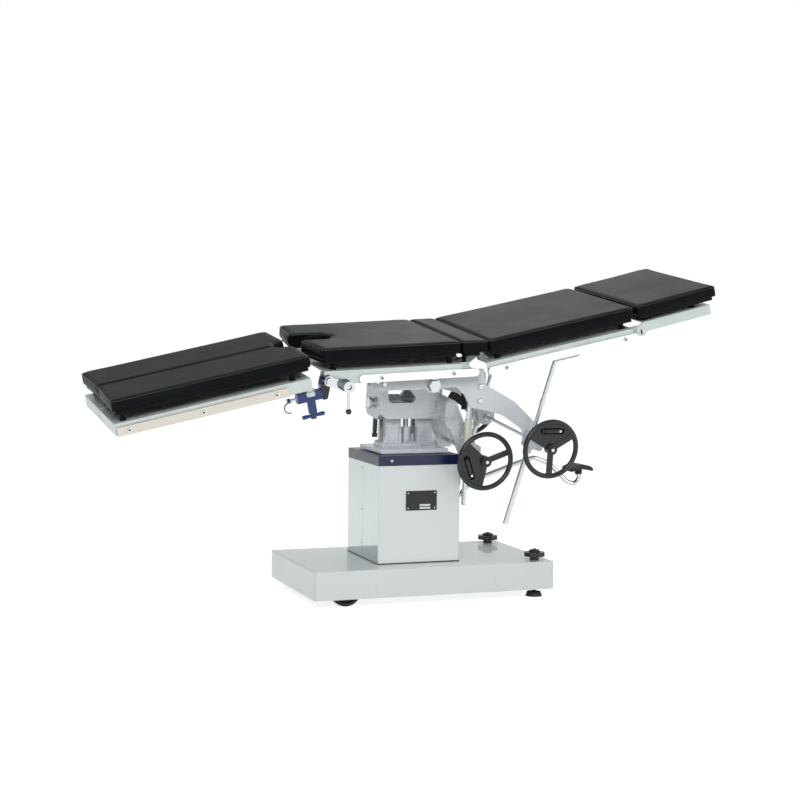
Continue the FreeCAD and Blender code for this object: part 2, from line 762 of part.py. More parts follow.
def handwheel(spoke_deg):
    """Rim, three spokes and one filled sector with a window for the folding grip."""
    ring_r = hand_r - rim_r
    rim = Part.makeTorus(ring_r, rim_r, ORIGIN, Y)
    parts = [rim, rod_y(0, 0, hub_r, -13, 13)]
    for i in range(3):
        spoke = box(0, ring_r - 1, -5, 5, -spoke_w / 2, spoke_w / 2)
        spoke.rotate(ORIGIN, Y, -(spoke_deg + 120 * i))
        parts.append(spoke)
    sector = cyl(Vector(0, -4, 0), Y, ring_r + 1, 8)
    wedge = [(0, 0, 0)]
    for angle in (0, 60, 120):
        a = math.radians(spoke_deg + angle)
        wedge.append((math.cos(a) * 2.2 * hand_r, math.sin(a) * 2.2 * hand_r, 0))
    parts.append(sector.common(plate_xz(wedge, -5, 5)))
    wheel = fuse(parts)
    mid = spoke_deg + 60
    window = slot_y(0, grip_at, grip_len / 2, grip_r + 1.5, -9, 9)
    window.rotate(ORIGIN, Y, -(mid - 90))
    bore = rod_y(0, 0, shaft_r, -20, 20)
    return cut(wheel, [window, bore])


def wheel_cap():
    return fuse([rod_y(0, 0, 11, -16, -12.5), rod_y(0, 0, 6, -18, -15)])


def folding_grip(spoke_deg):
    """Grip lying in the sector's window, hinged at one end."""
    x0 = -grip_len / 2
    stub = box(x0 - 3, x0 + 9, -4.5, 4.5, grip_at - 4.5, grip_at + 4.5)
    barrel = cyl(Vector(x0 + 6, 0, grip_at), X, grip_r, grip_len - 6)
    barrel = soften(barrel, 3, lambda e: e.BoundBox.XLength < 0.01)
    reach = grip_r + 1.2
    pin = cyl(Vector(x0, 0, grip_at - reach), Z, 2.2, 2 * reach)
    grip = fuse([stub, barrel, pin])
    grip.rotate(ORIGIN, Y, -(spoke_deg + 60 - 90))
    return grip


# seat, drawn level about the middle of the pad's top plane

def tray(x0, x1, y0, y1, top, height, open_start=True):
    """Folded tray: top sheet with side flanges, and an end flange where it is closed."""
    body = soften(
        box(x0, x1, y0, y1, top - height, top), 3,
        lambda e: abs(e.BoundBox.ZMin - top) < 0.01 and e.BoundBox.XLength > 1 and e.BoundBox.YLength < 0.01,
    )
    inner_x0 = x0 - 1 if open_start else x0 + skirt_t
    inner = box(inner_x0, x1 + 1, y0 + skirt_t, y1 - skirt_t, top - height - 1, top - tray_t)
    return cut(body, [inner])


def rail(x0, x1, z_top, outer):
    """Side rail with rounded ends, standing off its frame on spacer screws."""
    r = rail_h / 2 * 0.98
    corners = [(x0, z_top - rail_h, r), (x1, z_top - rail_h, r), (x1, z_top, r), (x0, z_top, r)]
    return plate_xz(corners, -outer, -outer + rail_t)


def rail_fixings(xs, z, outer):
    parts = []
    for x in xs:
        parts.append(rod_y(x, z, 6, -outer + rail_t - 0.5, -tray_half))
        parts.append(socket_screw(Vector(x, -outer, z), ORIGIN.sub(Y), 7, 2.5))
    return parts


def board_with_posts(outline, top, post_spots, post_low):
    board = plate_xy(outline, top - board_t, top)
    posts = [rod_z(x, y, 8, post_low, top - board_t + 1) for x, y in post_spots]
    feet = [rod_z(x, y, 10, post_low, post_low + 3) for x, y in post_spots]
    return fuse([board] + posts + feet)


def seat_outline(inset):
    x0, x1 = seat_x[0] + inset, seat_x[1] - inset
    half = pad_w / 2 - inset
    mouth = cut_half + inset
    deep = x0 + cut_x - inset
    lean = 20.0
    return [
        (x0, -mouth, 12),
        (x0 + lean, -half, 14),
        (x1, -half, 10),
        (x1, half, 10),
        (x0 + lean, half, 14),
        (x0, mouth, 12),
        (deep - 25, mouth * 0.95, mouth * 0.55),
        (deep + 6, 0, mouth * 0.35),
        (deep - 25, -mouth * 0.95, mouth * 0.55),
    ]


def seat_pad():
    return soften(plate_xy(seat_outline(0), -pad_t, 0), 4, top_edges(0))


def seat_board():
    x0, x1 = seat_x
    low = -pad_t - board_t - post_h
    post_y = tray_half - 27
    spots = [(x, y) for x in (x0 + 62, x1 - 25) for y in (-post_y, post_y)]
    return board_with_posts(seat_outline(8), -pad_t, spots, low)


def hinge_lug_seat():
    """Lug that carries the back section's hinge pin above the kidney guide beam."""
    px, pz = back_pivot_s.x, back_pivot_s.z
    start = seat_x[1] + 25
    outline = [
        (start, -80, 0),
        (start + 30, -92, 3),
        (px + hinge_r, pz - 14, 6),
        (px + hinge_r, pz + hinge_r, hinge_r * 0.98),
        (px - hinge_r, pz + hinge_r, hinge_r * 0.98),
        (px - hinge_r, pz - 12, 6),
        (start, -74, 0),
    ]
    return plate_xz(outline, -hinge_y + 1, -hinge_y + 25)


def seat_frame():
    """Tray with cross beams, the kidney guide beam and the lugs of back and leg hinges."""
    x0, x1 = seat_tray_x
    top = -pad_t - board_t - post_h
    parts = [tray(x0, x1, -tray_half, tray_half, top, skirt_h + tray_t)]
    low = top - tray_t
    for x in (x0 + 167, x1 - 52):
        parts.append(box(x, x + 40, -tray_half + 1, tray_half - 1, low - 26, low + 1))
    reach = plate_y[0] - 0.5
    parts.append(box(x1 - 2, kidney_post_x + 14, -reach, reach, low - 36, low - 3))
    parts.append(box(x1 - 40, x1, -reach, reach, low - 26, low + 1))
    parts.extend(both_sides(hinge_lug_seat()))
    ear = [
        (x0, leg_pivot_s.z + 20, 0),
        (x0, leg_pivot_s.z - 14, 10),
        (x0 + 26, leg_pivot_s.z - 16, 12),
        (x0 + 60, leg_pivot_s.z + 20, 0),
    ]
    inner = -tray_half + 42
    parts.extend(both_sides(plate_xz(ear, inner - 6, inner)))
    parts.extend(both_sides(plate_xz(ear, -tray_half, -tray_half + skirt_t)))
    body = fuse(parts)
    holes = []
    for side in (-1, 1):
        y = side * kidney_post_y
        holes.append(rod_z(kidney_post_x, y, kidney_post_r + run_clear, -300, 0))
    pins = both_sides(rod_y(leg_pivot_s.x, leg_pivot_s.z, fold_pin_r, -tray_half, inner + 1))
    pins += both_sides(rod_y(back_pivot_s.x, back_pivot_s.z, hinge_pin_r, -hinge_y - 27, -hinge_y + 25))
    return fuse([cut(body, holes)] + pins)


def side_plates():
    """Near and far plates from the seat tray down to the back drive, with a cross tube."""
    px, pz = pitch_s.x, pitch_s.z
    sx, sz = back_shaft_s.x, back_shaft_s.z
    top = -pad_t - board_t - post_h - tray_t - 26
    outline = [
        (-193, top, 4),
        (-193, -134, 12),
        (-163, -149, 18),
        (px - 30, -152, 8),
        (px - 14, -163, 10),
        (px + 14, -163, 10),
        (px + 30, -152, 8),
        (91, -152, 16),
        (118, -178, 20),
        (140, -222, 28),
        (182, -230, 16),
        (250, -252, 30),
        (sx - 36, sz + 36, 30),
        (sx - 28, sz - 27, 24),
        (sx + 28, sz - 27, 26),
        (sx + 30, sz + 34, 40),
        (291, -210, 60),
        (228, -172, 30),
        (188, -148, 8),
        (184, top, 4),
    ]
    plate = plate_xz(outline, -plate_y[1], -plate_y[0])
    bore = rod_y(px, pz, axle_r + run_clear, -300, 300)
    bore_shaft = rod_y(sx, sz, shaft_r + run_clear, -300, 300)
    tube = rod_y(154, top - 14, 13, -plate_y[0], plate_y[0])
    bolts = []
    for x, z, size in ((173, -154, 15), (170, -200, 13)):
        bolts.append(hex_head(Vector(x, -plate_y[1] + 0.5, z), ORIGIN.sub(Y), size, 7))
    for x, z in ((-172, -118), (-150, -128)):
        bolts.append(hex_head(Vector(x, -plate_y[1] + 0.5, z), ORIGIN.sub(Y), 12, 6))
    lugs = []
    for y0 in (-pitch_screw_y - 14, -pitch_screw_y + 8):
        lug = [
            (138, top - 6, 4),
            (214, top - 22, 8),
            (214, -171, 8),
            (150, -171, 8),
            (138, top - 26, 8),
        ]
        lugs.append(plate_xz(lug, y0, y0 + 6))
    sides = both_sides(cut(fuse([plate] + bolts), [bore, bore_shaft]))
    lugs = [lug for item in lugs for lug in both_sides(item)]
    head = pitch_head_in_seat()
    slots = []
    for side in (-1, 1):
        y0, y1 = sorted((side * (pitch_screw_y - 16), side * (pitch_screw_y + 16)))
        slots.append(slot_y(head.x + 9, head.z, 13, 8.5, y0, y1))
    return cut(fuse(sides + [tube] + lugs), slots)


def pitch_head_in_seat():
    """Centre of the pitch screw's cross pin, seen from the seat."""
    arm = Vector(pitch_screw_x - pitch_c.x, 0, 0)
    return pitch_s.add(Rotation(Y, pitch_deg).multVec(arm))


def seat_rails():
    outer = tray_half + rail_gap + rail_t
    z = seat_rail_z - rail_h / 2
    parts = [rail(seat_rail_x[0], seat_rail_x[1], seat_rail_z, outer)]
    parts += rail_fixings((seat_rail_x[0] + 72, seat_rail_x[1] - 85), z, outer)
    return Part.makeCompound(both_sides(fuse(parts)))


def clamp_body():
    """Round lock body on the leg hinge with a link to its split clamp block."""
    px, pz = leg_pivot_s.x, leg_pivot_s.z
    y = -tray_half
    parts = [rod_y(px, pz, 16, y - 26, y), rod_y(px, pz, 11, y - 33, y - 25)]
    link = [
        (px - 4, pz + 13, 8),
        (px + 58, pz - 2, 10),
        (px + 66, pz - 30, 14),
        (px + 44, pz - 34, 10),
        (px - 6, pz - 14, 8),
    ]
    parts.append(plate_xz(link, y - 20, y - 8))
    parts.append(rod_y(px + 54, pz - 17, 18, y - 34, y - 6))
    body = fuse(parts)
    return cut(body, [rod_y(px + 54, pz - 17, clamp_stem_r + run_clear, y - 60, y - 12)])


def clamp_lever():
    """Round clamp head with its spindle, tommy bar and ball."""
    px, pz = leg_pivot_s.x + 54, leg_pivot_s.z - 17
    y = -tray_half - 44
    head = cut(rod_y(px, pz, 18, y - 9, y + 9.7), [rod_y(px, pz, 8, y - 10, y - 2)])
    spindle = rod_y(px, pz, clamp_stem_r, y + 9, y + 30)
    bar = rod_z(px, y, 4, pz - 72, pz - 15)
    ball = Part.makeSphere(9, Vector(px, y, pz - 76))
    return fuse([head, spindle, bar, ball])


def seat_bottom():
    return -pad_t - board_t - post_h - tray_t


def kidney_board():
    """Narrow board on two guide posts that slide in the seat's end beam."""
    x0, x1 = kidney_board_x
    half = pad_w / 2 - 8
    low = seat_bottom() - kidney_travel - 46
    parts = [rounded_box(x0, x1, -half, half, -pad_t - board_t, -pad_t, 5)]
    for y in (-kidney_post_y, kidney_post_y):
        parts.append(rod_z(kidney_post_x, y, kidney_post_r, low, -pad_t - board_t + 1))
    return fuse(parts)


def kidney_pad():
    half = pad_w / 2
    pad = rounded_box(kidney_x[0], kidney_x[1], -half, half, -pad_t, 0, 8)
    return soften(pad, 4, top_edges(0))


# back section, drawn about its hinge pin

def back_frame():
    """Tray with cross ribs, hinge knuckles, head hinge ears and the drive's slotted lugs."""
    x0, x1 = back_tray_x
    top = back_pad_top - pad_t - board_t - post_h
    parts = [tray(x0, x1, -tray_half, tray_half, top, skirt_h + tray_t)]
    low = top - tray_t
    for x in (x0 + 136, x1 - 158, x1 - 28):
        parts.append(box(x, x + 24, -tray_half + 1, tray_half - 1, low - 22, low + 1))
    window = rod_y(0, 0, 36, -hinge_y - 0.5, -hinge_y + 26.5)
    parts = [cut(fuse(parts), both_sides(window))]
    knuckle = [
        (-hinge_r, -hinge_r, 3),
        (-4, low + 1, 0),
        (28, low + 1, 0),
        (10, -hinge_r, 4),
        (hinge_r, hinge_r, hinge_r * 0.98),
        (-hinge_r, hinge_r, hinge_r * 0.98),
    ]
    parts.extend(both_sides(plate_xz(knuckle, -hinge_y - 25, -hinge_y - 1)))
    hx, hz = head_pivot_b.x, head_pivot_b.z
    ear = [
        (x1 - 60, low - 1, 0),
        (hx + 8, hz + 14, 10),
        (hx + 13, hz - 13, 12),
        (hx - 13, hz - 14, 12),
        (x1 - 60, low - 22, 0),
    ]
    inner = -tray_half + 34
    parts.extend(both_sides(plate_xz(ear, inner - 8, inner)))
    pin = both_sides(rod_y(hx, hz, 7, -tray_half - 5, inner))
    at = clevis_in_back()
    lug = [
        (at.x - 22, low + 1, 0),
        (at.x + 74, low + 1, 0),
        (at.x + 74, at.z - 22, 12),
        (at.x - 22, at.z - 22, 12),
    ]
    for y0 in (-back_rod_y - 13, -back_rod_y + 9):
        parts.extend(both_sides(plate_xz(lug, y0, y0 + 4)))
    body = fuse(parts)
    slot = slot_y(at.x + 24, at.z, 28, 13, -back_rod_y - 20, -back_rod_y + 14)
    tools = both_sides(slot)
    tools += both_sides(rod_y(0, 0, hinge_pin_r + run_clear, -hinge_y - 29, -hinge_y + 1))
    return fuse([cut(body, tools)] + pin)


def clevis_in_back():
    """Centre of the back screw's cross pin at rest, seen from the back section."""
    lean = math.radians(back_lean_deg)
    along = Vector(math.sin(lean), 0, math.cos(lean)) * back_rod_up
    across = Vector(math.cos(lean), 0, -math.sin(lean)) * back_rod_x
    point = back_shaft_s.add(along).add(across).sub(back_pivot_s)
    return Rotation(Y, back_deg).multVec(point)


def back_rails():
    outer = tray_half + rail_gap + rail_t
    z = back_rail_z - rail_h / 2
    parts = [rail(back_rail_x[0], back_rail_x[1], back_rail_z, outer)]
    parts += rail_fixings((back_rail_x[0] + 61, back_rail_x[1] - 46), z, outer)
    return Part.makeCompound(both_sides(fuse(parts)))


def back_board():
    x0, x1 = back_x[0] + 5, back_x[1] - 8
    half = pad_w / 2 - 8
    low = back_pad_top - pad_t - board_t - post_h
    outline = [(x0, -half, 6), (x1, -half, 6), (x1, half, 6), (x0, half, 6)]
    post_y = tray_half - 32
    spots = [(x, y) for x in (x0 + 28, x1 - 26) for y in (-post_y, post_y)]
    return board_with_posts(outline, back_pad_top - pad_t, spots, low)


def back_pad():
    half = pad_w / 2
    pad = rounded_box(back_x[0], back_x[1], -half, half, back_pad_top - pad_t, back_pad_top, 10)
    return soften(pad, 4, top_edges(back_pad_top))


# head section, drawn about its hinge pin

def head_frame():
    x0, x1 = head_tray_x
    low = head_tray_top - head_skirt_h
    body = tray(x0 + 26, x1, -tray_half, tray_half, head_tray_top, head_skirt_h)
    end = box(x1 - skirt_t, x1, -tray_half, tray_half, low, head_tray_top)
    ear = [
        (-14, 14, 12),
        (12, head_tray_top - 1, 6),
        (40, head_tray_top - 1, 0),
        (40, low + 0.5, 0),
        (22, low, 10),
        (14, -15, 12),
        (-14, -15, 13),
    ]
    ears = both_sides(plate_xz(ear, -tray_half, -tray_half + 6))
    frame = fuse([body, end] + ears)
    return cut(frame, [rod_y(0, 0, 7 + run_clear, -300, 300)])


def head_board():
    x0, x1 = head_x[0] + 8, head_x[1] - 14
    half = pad_w / 2 - 8
    top = head_pad_top - head_pad_t
    outline = [(x0, -half, 6), (x1, -half, 6), (x1, half, 6), (x0, half, 6)]
    post_y = tray_half - 27
    spots = [(x, y) for x in (head_tray_x[0] + 50, head_tray_x[1] - 51) for y in (-post_y, post_y)]
    return board_with_posts(outline, top, spots, head_tray_top)


def head_pad():
    half = pad_w / 2
    z0 = head_pad_top - head_pad_t
    pad = rounded_box(head_x[0], head_x[1], -half, half, z0, head_pad_top, 12)
    return soften(pad, 4, top_edges(head_pad_top))


def head_lock():
    """Lock spindle under the head tray with a tapered knob."""
    z = head_tray_top - head_skirt_h + 10
    y = -tray_half + 82
    parts = [cyl(Vector(60, y, z), X, 4, 66)]
    parts.append(Part.makeCone(5, 10, 26, Vector(118, y, z), X))
    parts.append(cyl(Vector(144, y, z), X, 10, 5))
    parts.append(box(52, 66, y - 10, y + 10, z - 8, head_tray_top - tray_t))
    return fuse(parts)


# leg sections, near side drawn about the fold pin

def leg_outline(inset):
    x0, x1 = leg_x[0] + inset, leg_x[1] - inset
    y0, y1 = -pad_w / 2 + inset, -leg_gap / 2 - inset
    bite = 44.0
    return [
        (x0, y0, 12),
        (x1 - 3, y0, 12),
        (x1, y1 - bite - 6, 5),
        (x1 - bite * 0.75, y1 - bite * 0.9, 22),
        (x1 - bite - 6, y1, 6),
        (x0 + 6, y1, 4),
    ]


def leg_pad():
    return soften(plate_xy(leg_outline(0), leg_pad_top - pad_t, leg_pad_top), 4, top_edges(leg_pad_top))


def leg_board():
    x0, x1 = leg_x
    spots = [(x, y) for x in (x0 + 32, x1 - 62) for y in (-tray_half + 27, -40)]
    return board_with_posts(leg_outline(8), leg_pad_top - pad_t, spots, leg_tray_top)


def leg_frame():
    """Leg tray with its side rail and the swivel boss and pin of the leg lock."""
    x0, x1 = leg_tray_x
    body = tray(x0, x1, -tray_half, -4, leg_tray_top, leg_skirt_h)
    low = leg_tray_top - leg_skirt_h
    ends = [box(x0, x0 + skirt_t, -tray_half, -4, low, leg_tray_top)]
    ends.append(box(x1 - 70, x1, -tray_half + 1, -tray_half + 40, low, leg_tray_top - 1))
    ends.append(box(x1 - skirt_t, x1, -tray_half + 1, -5, low + 6, leg_tray_top - 1))
    boss = rod_z(swing_x, swing_y, 15, low - 5.7, low + 1)
    pin = rod_z(swing_x, swing_y, swing_pin_r, barrel_low + 10, low)
    outer = tray_half + rail_gap + rail_t
    z = leg_rail_z
    lower = [(x, z - 27, 2) for x in leg_rail_x]
    upper = [(x, z, 2) for x in reversed(leg_rail_x)]
    corners = lower + upper
    side = plate_xz(corners, -outer, -outer + rail_t)
    spots = (leg_rail_x[0] + 35, leg_rail_x[0] + 261, leg_rail_x[1] - 42)
    fixings = rail_fixings(spots, z - 13.5, outer)
    return fuse([body, boss, pin, side] + ends + fixings)


def leg_lock():
    """Hinge bracket, clamp block and barrel that fold with the leg and carry its swivel."""
    y0, y1 = lock_y
    low = leg_tray_top - leg_skirt_h - 6
    block = soften(box(-100, -17, y0, y1, low - 30, low), 3, lambda e: e.BoundBox.XLength > 60)
    collar = rod_z(swing_x, swing_y, barrel_r + 5, low - 14, low)
    barrel = rod_z(swing_x, swing_y, barrel_r, barrel_low, low)
    bracket = [
        (-22, low - 34, 4),
        (-6, low - 34, 6),
        (6, low - 4, 14),
        (15, -4, 8),
        (12, 13, 11),
        (-12, 13, 11),
        (-22, -14, 8),
    ]
    plate = plate_xz(bracket, y0, y1)
    screw = cyl(Vector(-124, swing_y, low - 15), X, 4, 26)
    nut = cyl(Vector(-130, swing_y, low - 15), X, 7, 9)
    hook = rod_y(-126, low - 37, 17.5, swing_y - 1.6, swing_y + 1.6)
    inside = rod_y(-126, low - 37, 14.5, swing_y - 3, swing_y + 3)
    mouth = box(-123, -100, -300, 0, -200, low - 27)
    hook = cut(hook, [inside, mouth])
    body = fuse([block, collar, barrel, plate, screw, nut, hook])
    bore = rod_z(swing_x, swing_y, swing_pin_r + run_clear, barrel_low + 6, low + 1)
    eye = rod_y(0, 0, fold_pin_r + run_clear, y0 - 1, y1 + 1)
    return cut(body, [bore, eye])


def lock_handle():
    """Cross handle under the barrel with two tapered arms."""
    z = barrel_low - 9
    hub = rod_z(swing_x, swing_y, 9, z - 9, barrel_low - 0.3)
    profile = [(0, -36, 0), (6, -36, 4), (6.5, -28, 4), (4.5, 0, 8), (6.5, 28, 4), (6, 36, 4), (0, 36, 0)]
    wire = rounded_wire([(Vector(along, 0, r), f) for r, along, f in profile])
    bar = Part.Face(wire).revolve(ORIGIN, X, 360)
    bar.translate(Vector(swing_x, swing_y, z))
    return fuse([hub, bar])


# back drive

def back_shaft():
    x, z = back_shaft_s.x, back_shaft_s.z
    y = back_wheel_y - 12
    shaft = rod_y(x, z, shaft_r, -y, y)
    inner = plate_y[0] - 0.3
    collars = both_sides(rod_y(x, z, shaft_r + 2.5, -inner, -inner + 8))
    return fuse([shaft] + collars)


def back_gearboxes():
    """Trunnion housings on the cross shaft, bored for the sliding screws."""
    y0, y1 = -back_rod_y - 17, -plate_y[1] - 2
    body = plate_xz(
        [
            (back_rod_x - 22, -box_half, 8),
            (24, -box_half, 8),
            (24, box_half, 8),
            (back_rod_x - 22, box_half, 8),
        ],
        y0, y1,
    )
    x = back_rod_x
    y = -back_rod_y
    neck = rod_z(x, y, 13, box_half - 1, box_half + 9)
    cuff = rod_z(x, y, 12.5, -box_half - 16, -box_half + 1)
    bolts = []
    for dx in (-1, 1):
        for dz in (-1, 1):
            bolts.append(hex_head(Vector(dx * 17 - 7, y0, dz * 18), ORIGIN.sub(Y), 7, 3))
    tools = [rod_z(x, y, back_sleeve_r + run_clear, -60, 60)]
    tools.append(rod_y(0, 0, shaft_r + run_clear, y0 - 5, y1 + 5))
    one = cut(fuse([body, neck, cuff] + bolts), tools)
    return Part.makeCompound(both_sides(one))


def back_screws():
    x, y = back_rod_x, -back_rod_y
    rod = rod_z(x, y, back_rod_r, -box_half - 20, back_rod_up)
    sleeve = rod_z(x, y, back_sleeve_r, -back_sleeve_low, -box_half - 18)
    step = rod_z(x, y, back_sleeve_r, 122, 134)
    head = rod_y(x, back_rod_up, 11, y - 7, y + 7)
    pin = rod_y(x, back_rod_up, 6, y - 14, y + 14)
    return Part.makeCompound(both_sides(fuse([rod, sleeve, step, head, pin])))


# pedal

def pedal_lever():
    points = [(pedal_pivot.x, 0, pedal_pivot.z), (200, 0, 309)]
    points += [(x, 0, z) for x, z in pedal_path]
    tube = swept_tube(points, pedal_tube_r, 40)
    eye = rod_y(pedal_pivot.x, pedal_pivot.z, 11, -10, 10)
    bore = rod_y(pedal_pivot.x, pedal_pivot.z, pedal_pivot_r + run_clear, -12, 12)
    return cut(fuse([tube, eye]), [bore])


def pedal_pad():
    """Curved tread with a rounded front, seated on the end of the lever."""
    tip = Vector(pedal_path[-1][0], 0, pedal_path[-1][1])
    outline = [
        (tip.x - 42, tip.z - 4, 3),
        (tip.x - 38, tip.z + 10, 4),
        (tip.x - 6, tip.z + 22, 40),
        (tip.x + 30, tip.z + 16, 20),
        (tip.x + 44, tip.z + 5, 3),
        (tip.x + 40, tip.z - 2, 3),
        (tip.x, tip.z + 6, 50),
    ]
    pad = plate_xz(outline, -38, 38)
    trim = rounded_box(tip.x - 46, tip.x + 48, -38, 38, tip.z - 30, tip.z + 50, 16)
    pad = pad.common(trim)
    socket = cyl(Vector(tip.x + 4, 0, tip.z - 14), Z, 12, 26)
    bore = pedal_lever()
    return cut(fuse([pad, socket]), [bore])


def placed(shape, frame):
    copy = shape.copy()
    copy.Placement = frame.multiply(copy.Placement)
    return copy


def wheel_on(frame, x, y, z, spoke_deg, flip):
    """Handwheel with cap, and its grip, on a shaft parallel to the frame's Y."""
    wheel = fuse([handwheel(spoke_deg), wheel_cap()])
    grip = folding_grip(spoke_deg)
    if flip:
        wheel, grip = far_copy(wheel), far_copy(grip)
    at = frame.multiply(Placement(Vector(x, y, z), Rotation()))
    return placed(wheel, at), placed(grip, at)


def build():
    nodes = {}
    world = {
        "base_cover": base_cover,
        "base_chassis": base_chassis,
        "column_cover": column_cover,
        "column_side_panels": column_side_panels,
        "column_cap": column_cap,
        "nameplate": nameplate,
        "panel_screws": panel_screws,
        "inner_column": inner_column,
        "head_plate": head_plate,
        "fork": fork,
        "tilt_pin": tilt_pin,
        "pedal_lever": pedal_lever,
        "pedal_pad": pedal_pad,
    }
    for name, make in world.items():
        nodes[name] = make()
    for name, make in (("wheel", fixed_wheel), ("brake_foot", brake_foot), ("brake_knob", brake_knob)):
        near = make()
        nodes[name + "_near"] = near
        nodes[name + "_far"] = far_copy(near)
    groups = (
        (cradle_frame, (cradle, tilt_buffer, pitch_axle, pitch_gearboxes, pitch_screws, pitch_shaft)),
        (seat_frame_at, (seat_frame, side_plates, seat_rails, seat_board, seat_pad, clamp_body, clamp_lever)),
        (seat_frame_at, (kidney_board, kidney_pad, back_shaft)),
        (back_frame_at, (back_frame, back_rails, back_board, back_pad)),
        (head_frame_at, (head_frame, head_board, head_pad, head_lock)),
        (drive_frame_at, (back_gearboxes, back_screws)),
    )
    for frame, makers in groups:
        for make in makers:
            nodes[make.__name__] = placed(make(), frame)
    for make in (leg_frame, leg_board, leg_pad, leg_lock, lock_handle):
        near = make()
        nodes[make.__name__ + "_near"] = placed(near, leg_frame_at)
        nodes[make.__name__ + "_far"] = placed(far_copy(near), leg_frame_at)
    sx, sz = pitch_shaft_c.x, pitch_shaft_c.z
    nodes["pitch_wheel"], nodes["pitch_grip"] = wheel_on(cradle_frame, sx, pitch_wheel_y, sz, 140, False)
    bx, bz = back_shaft_s.x, back_shaft_s.z
    near, nodes["back_grip_near"] = wheel_on(seat_frame_at, bx, -back_wheel_y, bz, 27, False)
    far, nodes["back_grip_far"] = wheel_on(seat_frame_at, bx, back_wheel_y, bz, 27, True)
    nodes["back_wheels"] = Part.makeCompound([near, far])
    return nodes


def export(nodes):
    os.makedirs("parts", exist_ok=True)
    for name, shape in nodes.items():
        shape.exportStep("parts/" + name + ".step")


export(build())
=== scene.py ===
import math

import bpy
import numpy as np
from mathutils import Matrix, Vector


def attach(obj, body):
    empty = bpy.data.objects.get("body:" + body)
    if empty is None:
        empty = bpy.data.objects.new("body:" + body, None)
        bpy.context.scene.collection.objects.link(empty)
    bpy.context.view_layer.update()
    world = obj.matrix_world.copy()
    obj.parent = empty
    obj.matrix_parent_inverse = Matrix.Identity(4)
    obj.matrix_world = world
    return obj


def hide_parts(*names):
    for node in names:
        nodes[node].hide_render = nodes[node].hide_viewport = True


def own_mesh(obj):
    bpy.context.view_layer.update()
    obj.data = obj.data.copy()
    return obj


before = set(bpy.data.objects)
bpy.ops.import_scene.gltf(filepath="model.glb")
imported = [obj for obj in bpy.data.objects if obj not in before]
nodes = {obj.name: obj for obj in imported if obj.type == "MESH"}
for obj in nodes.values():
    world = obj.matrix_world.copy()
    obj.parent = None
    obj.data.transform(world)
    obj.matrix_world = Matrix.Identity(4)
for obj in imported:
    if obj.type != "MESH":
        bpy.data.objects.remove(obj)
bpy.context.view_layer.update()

print("loaded", len(nodes), "nodes")

view = {
    "azimuth": -20.561,
    "elevation": 4.036,
    "distance": 5.7736,
    "aim": (-0.0146, 0.0, 0.6239),
    "lens": 80.62,
    "roll": 0.725,
    "film": 36,
    "far": 60,
}

tilts = {
    "axisHeight": 0.617,
    "lateral": 6.9,
    "seatHeight": 0.231,
    "pitch": 2.8,
    "backPivot": (0.1777, 0.0, -0.046),
    "back": 9.4,
    "headPivot": (0.536, 0.0, -0.041),
    "head": 1.6,
    "legPivot": (-0.348, 0.0, -0.096),
    "leg": 9.7,
}


def turned(pivot, degrees, axis):
    return Matrix.Translation(pivot) @ Matrix.Rotation(math.radians(degrees), 4, Vector(axis))


cradleAt = turned((0, 0, tilts["axisHeight"]), tilts["lateral"], (1, 0, 0))
seatAt = cradleAt @ turned((0, 0, tilts["seatHeight"]), tilts["pitch"], (0, -1, 0))
backAt = seatAt @ turned(tilts["backPivot"], tilts["back"], (0, -1, 0))
headAt = backAt @ turned(tilts["headPivot"], tilts["head"], (0, -1, 0))
legAt = seatAt @ turned(tilts["legPivot"], tilts["leg"], (0, -1, 0))


def linear(hexColour):
    values = [int(hexColour[i : i + 2], 16) / 255 for i in (1, 3, 5)]
    return [v / 12.92 if v <= 0.04045 else ((v + 0.055) / 1.055) ** 2.4 for v in values] + [1.0]


def addNode(tree, kind, at, **inputs):
    node = tree.nodes.new(kind)
    node.location = at
    for name, value in inputs.items():
        node.inputs[name.replace("_", " ")].default_value = value
    return node


def objectCoords(tree, scale, turn=(0, 0, 0)):
    coords = addNode(tree, "ShaderNodeTexCoord", (-1400, 0))
    level = addNode(tree, "ShaderNodeMapping", (-1200, 0), Rotation=turn)
    mapping = addNode(tree, "ShaderNodeMapping", (-1000, 0), Scale=scale)
    tree.links.new(coords.outputs["Object"], level.inputs["Vector"])
    tree.links.new(level.outputs["Vector"], mapping.inputs["Vector"])
    return mapping.outputs["Vector"]


def noise(tree, vector, scale, detail, at):
    texture = addNode(tree, "ShaderNodeTexNoise", at, Scale=scale, Detail=detail)
    tree.links.new(vector, texture.inputs["Vector"])
    return texture.outputs["Fac"]


def ramp(tree, value, low, high, at):
    colours = addNode(tree, "ShaderNodeValToRGB", at)
    colours.color_ramp.elements[0].color = low
    colours.color_ramp.elements[1].color = high
    colours.color_ramp.elements[0].position = 0.3
    colours.color_ramp.elements[1].position = 0.7
    tree.links.new(value, colours.inputs["Fac"])
    return colours.outputs["Color"]


def spread(tree, value, low, high, at):
    ranged = addNode(tree, "ShaderNodeMapRange", at, To_Min=low, To_Max=high)
    ranged.inputs["From Min"].default_value = 0.3
    ranged.inputs["From Max"].default_value = 0.7
    tree.links.new(value, ranged.inputs["Value"])
    return ranged.outputs["Result"]


def bump(tree, height, strength, distance, at, under=None):
    lifted = addNode(tree, "ShaderNodeBump", at, Strength=strength, Distance=distance)
    tree.links.new(height, lifted.inputs["Height"])
    if under is not None:
        tree.links.new(under, lifted.inputs["Normal"])
    return lifted.outputs["Normal"]


def newMaterial(name, **inputs):
    material = bpy.data.materials.new(name)
    material.use_nodes = True
    tree = material.node_tree
    shader = tree.nodes["Principled BSDF"]
    for key, value in inputs.items():
        shader.inputs[key.replace("_", " ")].default_value = value
    return material, tree, shader


